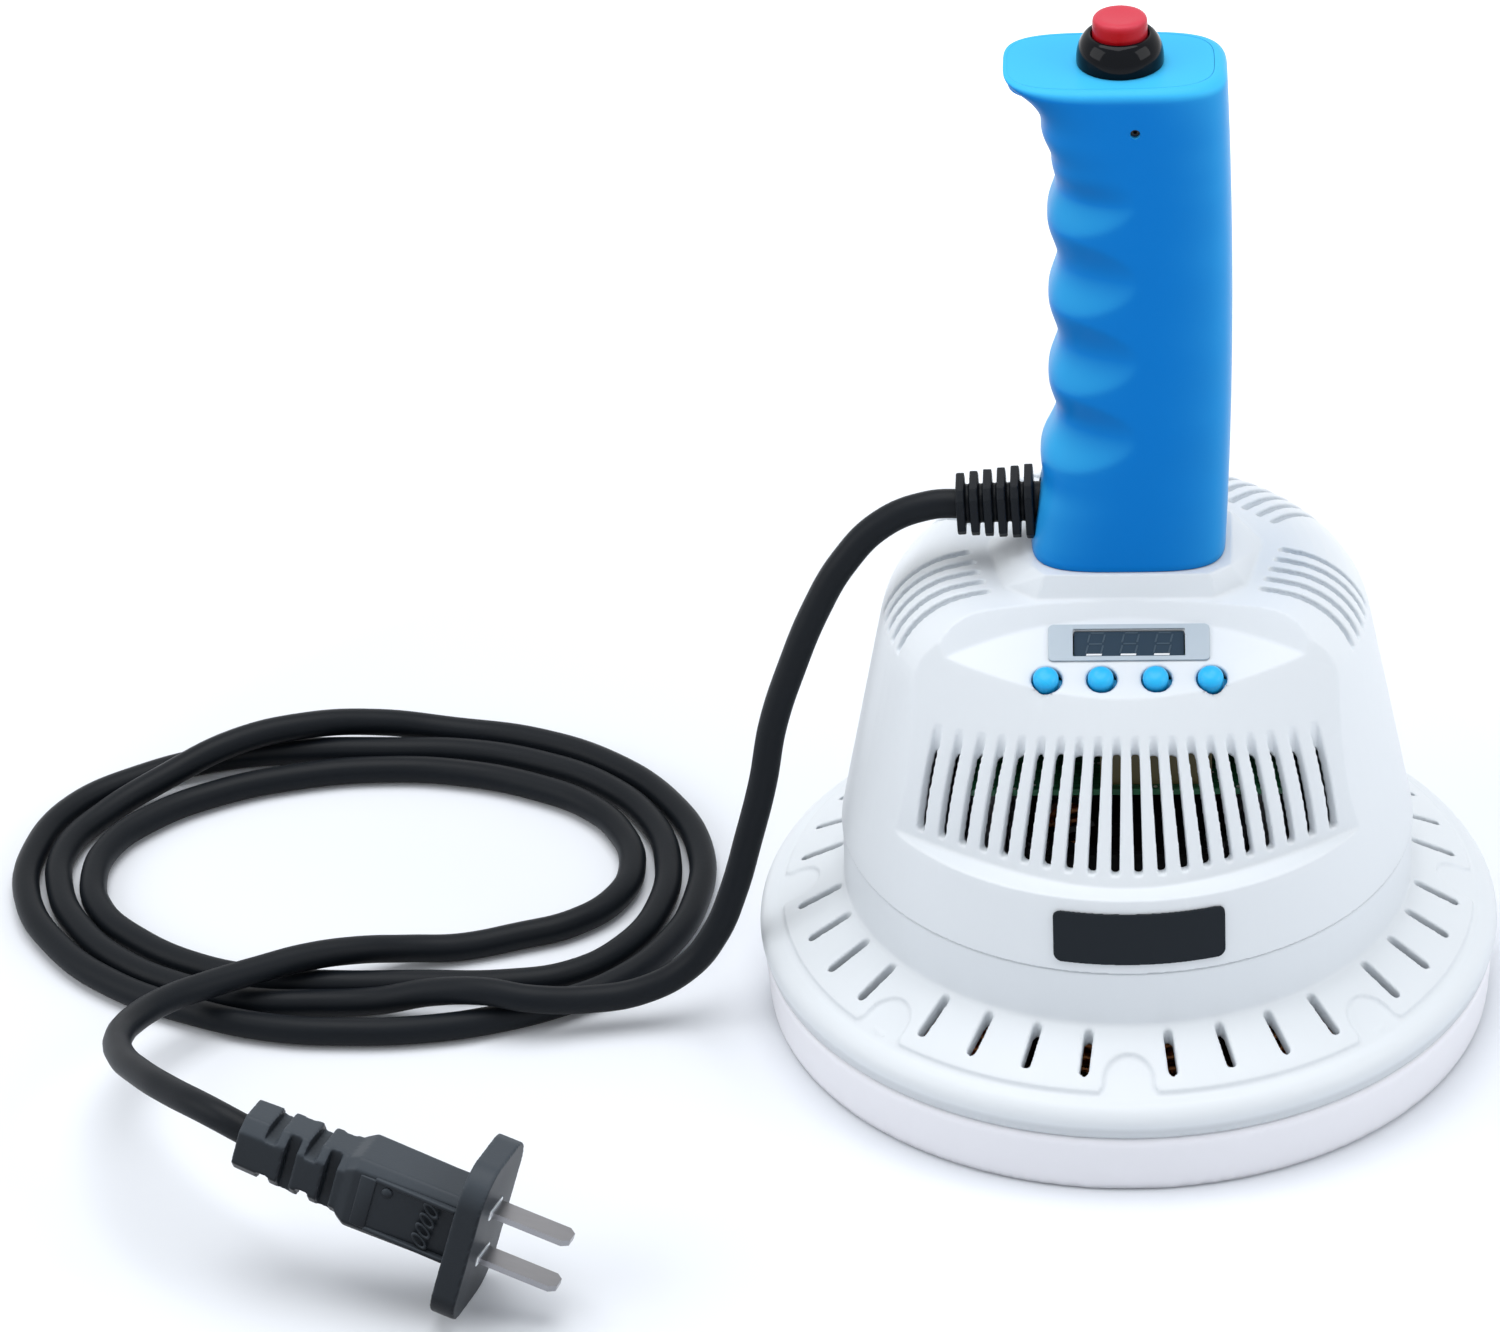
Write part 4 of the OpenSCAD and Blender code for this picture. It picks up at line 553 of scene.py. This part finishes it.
# Plug
# Soft black PVC moulded round the cord's end and the blades, with a slotted boot. Its side has a sunk panel
# with a boss and oval grip rings.
plug = (Matrix.Translation(Vector(route_mm[-1]) / 1000) @ Matrix.Rotation(math.radians(-17), 4, "Z")
        @ Matrix.Rotation(math.radians(14.5), 4, "Y") @ Matrix.Rotation(math.radians(-10), 4, "X")
        @ Matrix.Translation((-0.0035, 0, 0)))
plug_back = plug.inverted()


def fuller(place):
    x, y, z = plug_back @ place * 1000
    if x > 54.9 or math.hypot(y, z) < 4:
        return place
    swell = 1.26 - 0.08 * x / 55
    return plug @ (Vector((x, y * swell, z * swell)) / 1000)


# The plug's black is painted towards a grey sheen where it faces up or aside, as if lit.
plug_pvc = moulded_with_painted_light("plug_pvc", (0.006, 0.008, 0.011), gloss=0.42, drift=0.25, grain_size=1800, depth=0.15,
                   specular=0.13, rim=(0.05, 0.06, 0.072), painted_light_by=1.0)
plug_moulding = softened("plug_body", voxel_mm=0.32, triangles=60000, passes=11, before=fuller)
finished(plug_moulding, "sealer", plug_pvc, "black_rubber", "plug_body")
grips = []
for side in (-1, 1):
    for k in range(4):
        bpy.ops.object.select_all(action="DESELECT")
        bpy.ops.mesh.primitive_torus_add(major_radius=0.001, minor_radius=0.00026,
                                         major_segments=36, minor_segments=12)
        grip = bpy.context.object
        ring_at = Vector((48.6 - 0.3 * k, side * 8.38, 4.6 - 2.9 * k)) / 1000
        grip.data.transform(plug @ Matrix.Translation(ring_at) @ Matrix.Rotation(math.radians(90), 4, "X")
                            @ Matrix.Rotation(math.radians(-35), 4, "Z") @ Matrix.Diagonal((2.0, 0.95, 1, 1)))
        grips.append(grip)
    bpy.ops.mesh.primitive_uv_sphere_add(radius=0.0013, segments=24, ring_count=12)
    boss = bpy.context.object
    boss_at = Vector((37.5, side * 8.05, 4.4)) / 1000
    boss.data.transform(plug @ Matrix.Translation(boss_at) @ Matrix.Diagonal((1, 0.4, 1, 1)))
    grips.append(boss)
    for x, z, long, tall in ((32.6, 0, 4, 13.4), (44.2, 6.7, 20, 1.2), (44.2, -6.7, 20, 1.2)):
        bpy.ops.mesh.primitive_cube_add(size=0.001)
        border = bpy.context.object
        border_at = Vector((x, side * (7.55 + 0.024 * (x - 32)), z)) / 1000
        border.data.transform(plug @ Matrix.Translation(border_at) @ Matrix.Rotation(math.radians(side * 1.4), 4, "Z")
                              @ Matrix.Diagonal((long, 1.7, tall, 1)))
        edge = border.modifiers.new("edge", "BEVEL")
        edge.width = 0.0004
        edge.segments = 3
        bpy.ops.object.modifier_apply(modifier="edge")
        grips.append(border)
bpy.ops.object.select_all(action="DESELECT")
for grip in grips:
    grip.select_set(True)
bpy.context.view_layer.objects.active = grips[0]
bpy.ops.object.join()
grip_relief = bpy.context.object
grip_relief.name = "plug_grips"
bpy.ops.object.shade_smooth_by_angle(angle=math.radians(40))
finished(grip_relief, "sealer", plug_pvc, "black_rubber")


# Finish of metal
# Drawn, rolled or extruded metal: fine lines run one way, and they break up the gloss.
def metal(name, colour, gloss, lines=(1, 1, 1), contrast=0.25, scale=900, depth=0.04):
    finish = bpy.data.materials.new(name)
    finish.use_nodes = True
    tree = finish.node_tree
    shader = tree.nodes["Principled BSDF"]
    shader.inputs["Metallic"].default_value = 1
    coords = tree.nodes.new("ShaderNodeTexCoord")
    stretch = tree.nodes.new("ShaderNodeMapping")
    stretch.inputs["Scale"].default_value = lines
    streak = tree.nodes.new("ShaderNodeTexNoise")
    streak.inputs["Scale"].default_value = scale
    streak.inputs["Detail"].default_value = 4
    shades = tree.nodes.new("ShaderNodeValToRGB")
    shades.color_ramp.elements[0].color = (*(c * (1 - contrast) for c in colour), 1)
    shades.color_ramp.elements[1].color = (*(min(1, c * (1 + contrast)) for c in colour), 1)
    shades.color_ramp.elements[0].position = 0.3
    shades.color_ramp.elements[1].position = 0.7
    dull = tree.nodes.new("ShaderNodeMapRange")
    dull.inputs["To Min"].default_value = gloss * (1 - contrast)
    dull.inputs["To Max"].default_value = gloss * (1 + contrast)
    relief = tree.nodes.new("ShaderNodeBump")
    relief.inputs["Strength"].default_value = depth
    relief.inputs["Distance"].default_value = 0.0001
    for source, target in (
            (coords.outputs["Object"], stretch.inputs["Vector"]), (stretch.outputs[0], streak.inputs["Vector"]),
            (streak.outputs["Fac"], shades.inputs["Fac"]), (shades.outputs["Color"], shader.inputs["Base Color"]),
            (streak.outputs["Fac"], dull.inputs["Value"]), (dull.outputs["Result"], shader.inputs["Roughness"]),
            (streak.outputs["Fac"], relief.inputs["Height"]), (relief.outputs["Normal"], shader.inputs["Normal"])):
        tree.links.new(source, target)
    return finish


# Plug blades
# Two flat nickel-plated brass blades with clipped corners, moulded into the plug, each with a
# shoulder at its root painted much brighter than the blade as a highlight.
nickel = metal("nickel", (0.29, 0.29, 0.305), gloss=0.28, lines=(0.2, 1, 1), contrast=0.03, scale=500,
               depth=0.001)
# A nickel painted near white, as a highlight on the blade roots.
nickel_painted_highlight = metal("nickel_painted_highlight", (0.86, 0.88, 0.9), gloss=0.35, lines=(1, 1, 1), contrast=0.04, scale=500,
                      depth=0.002)
for index in range(len(nodes["plug_blades"].data.materials)):
    nodes["plug_blades"].data.materials[index] = nickel
bpy.ops.object.select_all(action="DESELECT")
shoulders = []
for side in (-1, 1):
    bpy.ops.mesh.primitive_cube_add(size=0.001)
    shoulder = bpy.context.object
    shoulder.data.transform(plug @ Matrix.Translation(Vector((60.9, -0.7, side * 6.35 + 0.45)) / 1000)
                            @ Matrix.Diagonal((0.9, 7.9, 2.5, 1)))
    shoulders.append(shoulder)
for shoulder in shoulders:
    shoulder.select_set(True)
bpy.context.view_layer.objects.active = shoulders[0]
bpy.ops.object.join()
roots = bpy.context.object
roots.name = "blade_shoulders"
edge = roots.modifiers.new("edge", "BEVEL")
edge.width = 0.00015
edge.segments = 2
bpy.ops.object.modifier_apply(modifier="edge")
finished(roots, "sealer", nickel_painted_highlight, "steel")


# Fasteners, boards and coil inside
# What the grille and the slots let be seen, and the rest of the works. These stay the CAD pieces,
# each in its own material.
def clad(finish, *names):
    for name in names:
        mesh = nodes[name].data
        for index in range(len(mesh.materials)):
            mesh.materials[index] = finish


def board(name, mask, pads):
    finish = bpy.data.materials.new(name)
    finish.use_nodes = True
    tree = finish.node_tree
    shader = tree.nodes["Principled BSDF"]
    coords = tree.nodes.new("ShaderNodeTexCoord")
    tracks = tree.nodes.new("ShaderNodeTexBrick")
    tracks.inputs["Scale"].default_value = 160
    tracks.inputs["Color1"].default_value = (*mask, 1)
    tracks.inputs["Color2"].default_value = (*(c * 1.35 for c in mask), 1)
    tracks.inputs["Mortar"].default_value = (*(c * 0.7 for c in mask), 1)
    tracks.inputs["Mortar Size"].default_value = 0.03
    dots = tree.nodes.new("ShaderNodeTexVoronoi")
    dots.inputs["Scale"].default_value = 300
    near = tree.nodes.new("ShaderNodeMath")
    near.operation = "LESS_THAN"
    near.inputs[1].default_value = 0.16
    tinned = tree.nodes.new("ShaderNodeMix")
    tinned.data_type = "RGBA"
    colours = [s for s in tinned.inputs if s.type == "RGBA"]
    colours[1].default_value = (*pads, 1)
    shader.inputs["Roughness"].default_value = 0.3
    face = [s for s in tinned.outputs if s.type == "RGBA"][0]
    for source, target in (
            (coords.outputs["Object"], tracks.inputs["Vector"]), (coords.outputs["Object"], dots.inputs["Vector"]),
            (dots.outputs["Distance"], near.inputs[0]), (near.outputs[0], tinned.inputs["Factor"]),
            (tracks.outputs["Color"], colours[0]), (face, shader.inputs["Base Color"])):
        tree.links.new(source, target)
    return finish


zinc_steel = metal("zinc_steel", (0.62, 0.63, 0.65), gloss=0.32, contrast=0.15)
clad(zinc_steel, "base_screws", "power_board_screws", "fan_screws", "housing_screws", "control_board_screws",
     "handle_screws", "switch_nut", "trigger_spring")
rolled_sheet = metal("rolled_sheet", (0.66, 0.67, 0.69), gloss=0.38, lines=(0.06, 1, 1), contrast=0.15, scale=500)
clad(rolled_sheet, "chassis_plate")
extruded_sink = metal("extruded_sink", (0.50, 0.52, 0.54), gloss=0.36, lines=(1, 1, 0.05), contrast=0.2, scale=700)
clad(extruded_sink, "heat_sink")
copper = metal("enamelled_copper", (0.72, 0.30, 0.12), gloss=0.3, lines=(1, 1, 6), contrast=0.35, scale=160)
clad(copper, "induction_coil", "choke")
ferrite = moulded_with_painted_light("ferrite_grey", (0.045, 0.045, 0.05), gloss=0.75, drift=0.5, grain_size=1500, depth=0.5)
clad(ferrite, "ferrite_bars")
cream = moulded_with_painted_light("former_cream", (0.62, 0.56, 0.42), gloss=0.5, drift=0.08, grain_size=1500, depth=0.1)
clad(cream, "coil_former")
clad(board("solder_mask", (0.02, 0.14, 0.06), (0.55, 0.55, 0.5)), "power_board", "control_board")
yellow = moulded_with_painted_light("film_yellow", (0.16, 0.13, 0.045), gloss=0.3, drift=0.08, grain_size=900, depth=0.05)
clad(yellow, "film_capacitor")
sleeve = moulded_with_painted_light("shrink_sleeve", (0.02, 0.025, 0.10), gloss=0.28, drift=0.2, grain_size=700, depth=0.08)
clad(sleeve, "electrolytic_capacitors")
matt_black = moulded_with_painted_light("matt_black", (0.014, 0.014, 0.016), gloss=0.5, drift=0.25, grain_size=1500, depth=0.15)
clad(matt_black, "power_transistors", "fan_frame", "fan_rotor", "key_switches", "switch_body", "cap_screw")


# Bench and light
# A white studio sweep under one broad soft light from above and two weaker ones from the sides. The
# surround is white to the eye and in reflections, and dimmer as light on the object.
bpy.ops.mesh.primitive_plane_add(size=6, location=(0, 0, 0))
bench = bpy.context.object
bench.name = "bench"
paper = bpy.data.materials.new("white_paper")
paper.use_nodes = True
sheet = paper.node_tree.nodes["Principled BSDF"]
sheet.inputs["Base Color"].default_value = (0.80, 0.83, 0.88, 1)
sheet.inputs["Roughness"].default_value = 0.9
sheet.inputs["Specular IOR Level"].default_value = 0.1
sheet.inputs["Emission Color"].default_value = (1, 1, 1, 1)
spot = paper.node_tree.nodes.new("ShaderNodeTexCoord")
away = paper.node_tree.nodes.new("ShaderNodeVectorMath")
away.operation = "DISTANCE"
away.inputs[1].default_value = (-0.08, 0, 0)
# The bench is painted to glow, faintly near the sealer and strongly from 0.6 m out, so the far floor shows white.
glow = paper.node_tree.nodes.new("ShaderNodeMapRange")
glow.inputs["From Min"].default_value = 0.2
glow.inputs["From Max"].default_value = 0.6
glow.inputs["To Min"].default_value = 0.03
glow.inputs["To Max"].default_value = 0.7
paper.node_tree.links.new(spot.outputs["Object"], away.inputs[0])
paper.node_tree.links.new(away.outputs["Value"], glow.inputs["Value"])
paper.node_tree.links.new(glow.outputs["Result"], sheet.inputs["Emission Strength"])
bench.data.materials.append(paper)

world = bpy.data.worlds.new("studio")
scene.world = world
world.use_nodes = True
tree = world.node_tree
for old in list(tree.nodes):
    tree.nodes.remove(old)
seen = tree.nodes.new("ShaderNodeBackground")
seen.inputs["Color"].default_value = (1, 1, 1, 1)
lit = tree.nodes.new("ShaderNodeBackground")
lit.inputs["Color"].default_value = (0.94, 0.97, 1, 1)
lit.inputs["Strength"].default_value = 0.38
path = tree.nodes.new("ShaderNodeLightPath")
shiny = tree.nodes.new("ShaderNodeMath")
shiny.operation = "MAXIMUM"
tree.links.new(path.outputs["Is Glossy Ray"], shiny.inputs[0])
tree.links.new(path.outputs["Is Transmission Ray"], shiny.inputs[1])
direct = tree.nodes.new("ShaderNodeMath")
direct.operation = "MAXIMUM"
tree.links.new(path.outputs["Is Camera Ray"], direct.inputs[0])
tree.links.new(shiny.outputs[0], direct.inputs[1])
pick = tree.nodes.new("ShaderNodeMixShader")
final = tree.nodes.new("ShaderNodeOutputWorld")
tree.links.new(direct.outputs[0], pick.inputs[0])
tree.links.new(lit.outputs[0], pick.inputs[1])
tree.links.new(seen.outputs[0], pick.inputs[2])
tree.links.new(pick.outputs[0], final.inputs[0])

for name, place, size, power in (("overhead", (-0.1, 0.1, 1.5), 1.2, 16.8), ("left_box", (-1.2, -0.4, 0.8), 0.9, 6.2),
                                 ("right_box", (1.2, -0.4, 0.8), 0.9, 6.5)):
    bpy.ops.object.light_add(type="AREA", location=place)
    lamp = bpy.context.object
    lamp.name = name
    lamp.data.size = size
    lamp.data.energy = power
    lamp.rotation_euler = (Vector((0, 0, 0.1)) - Vector(place)).to_track_quat("-Z", "Y").to_euler()
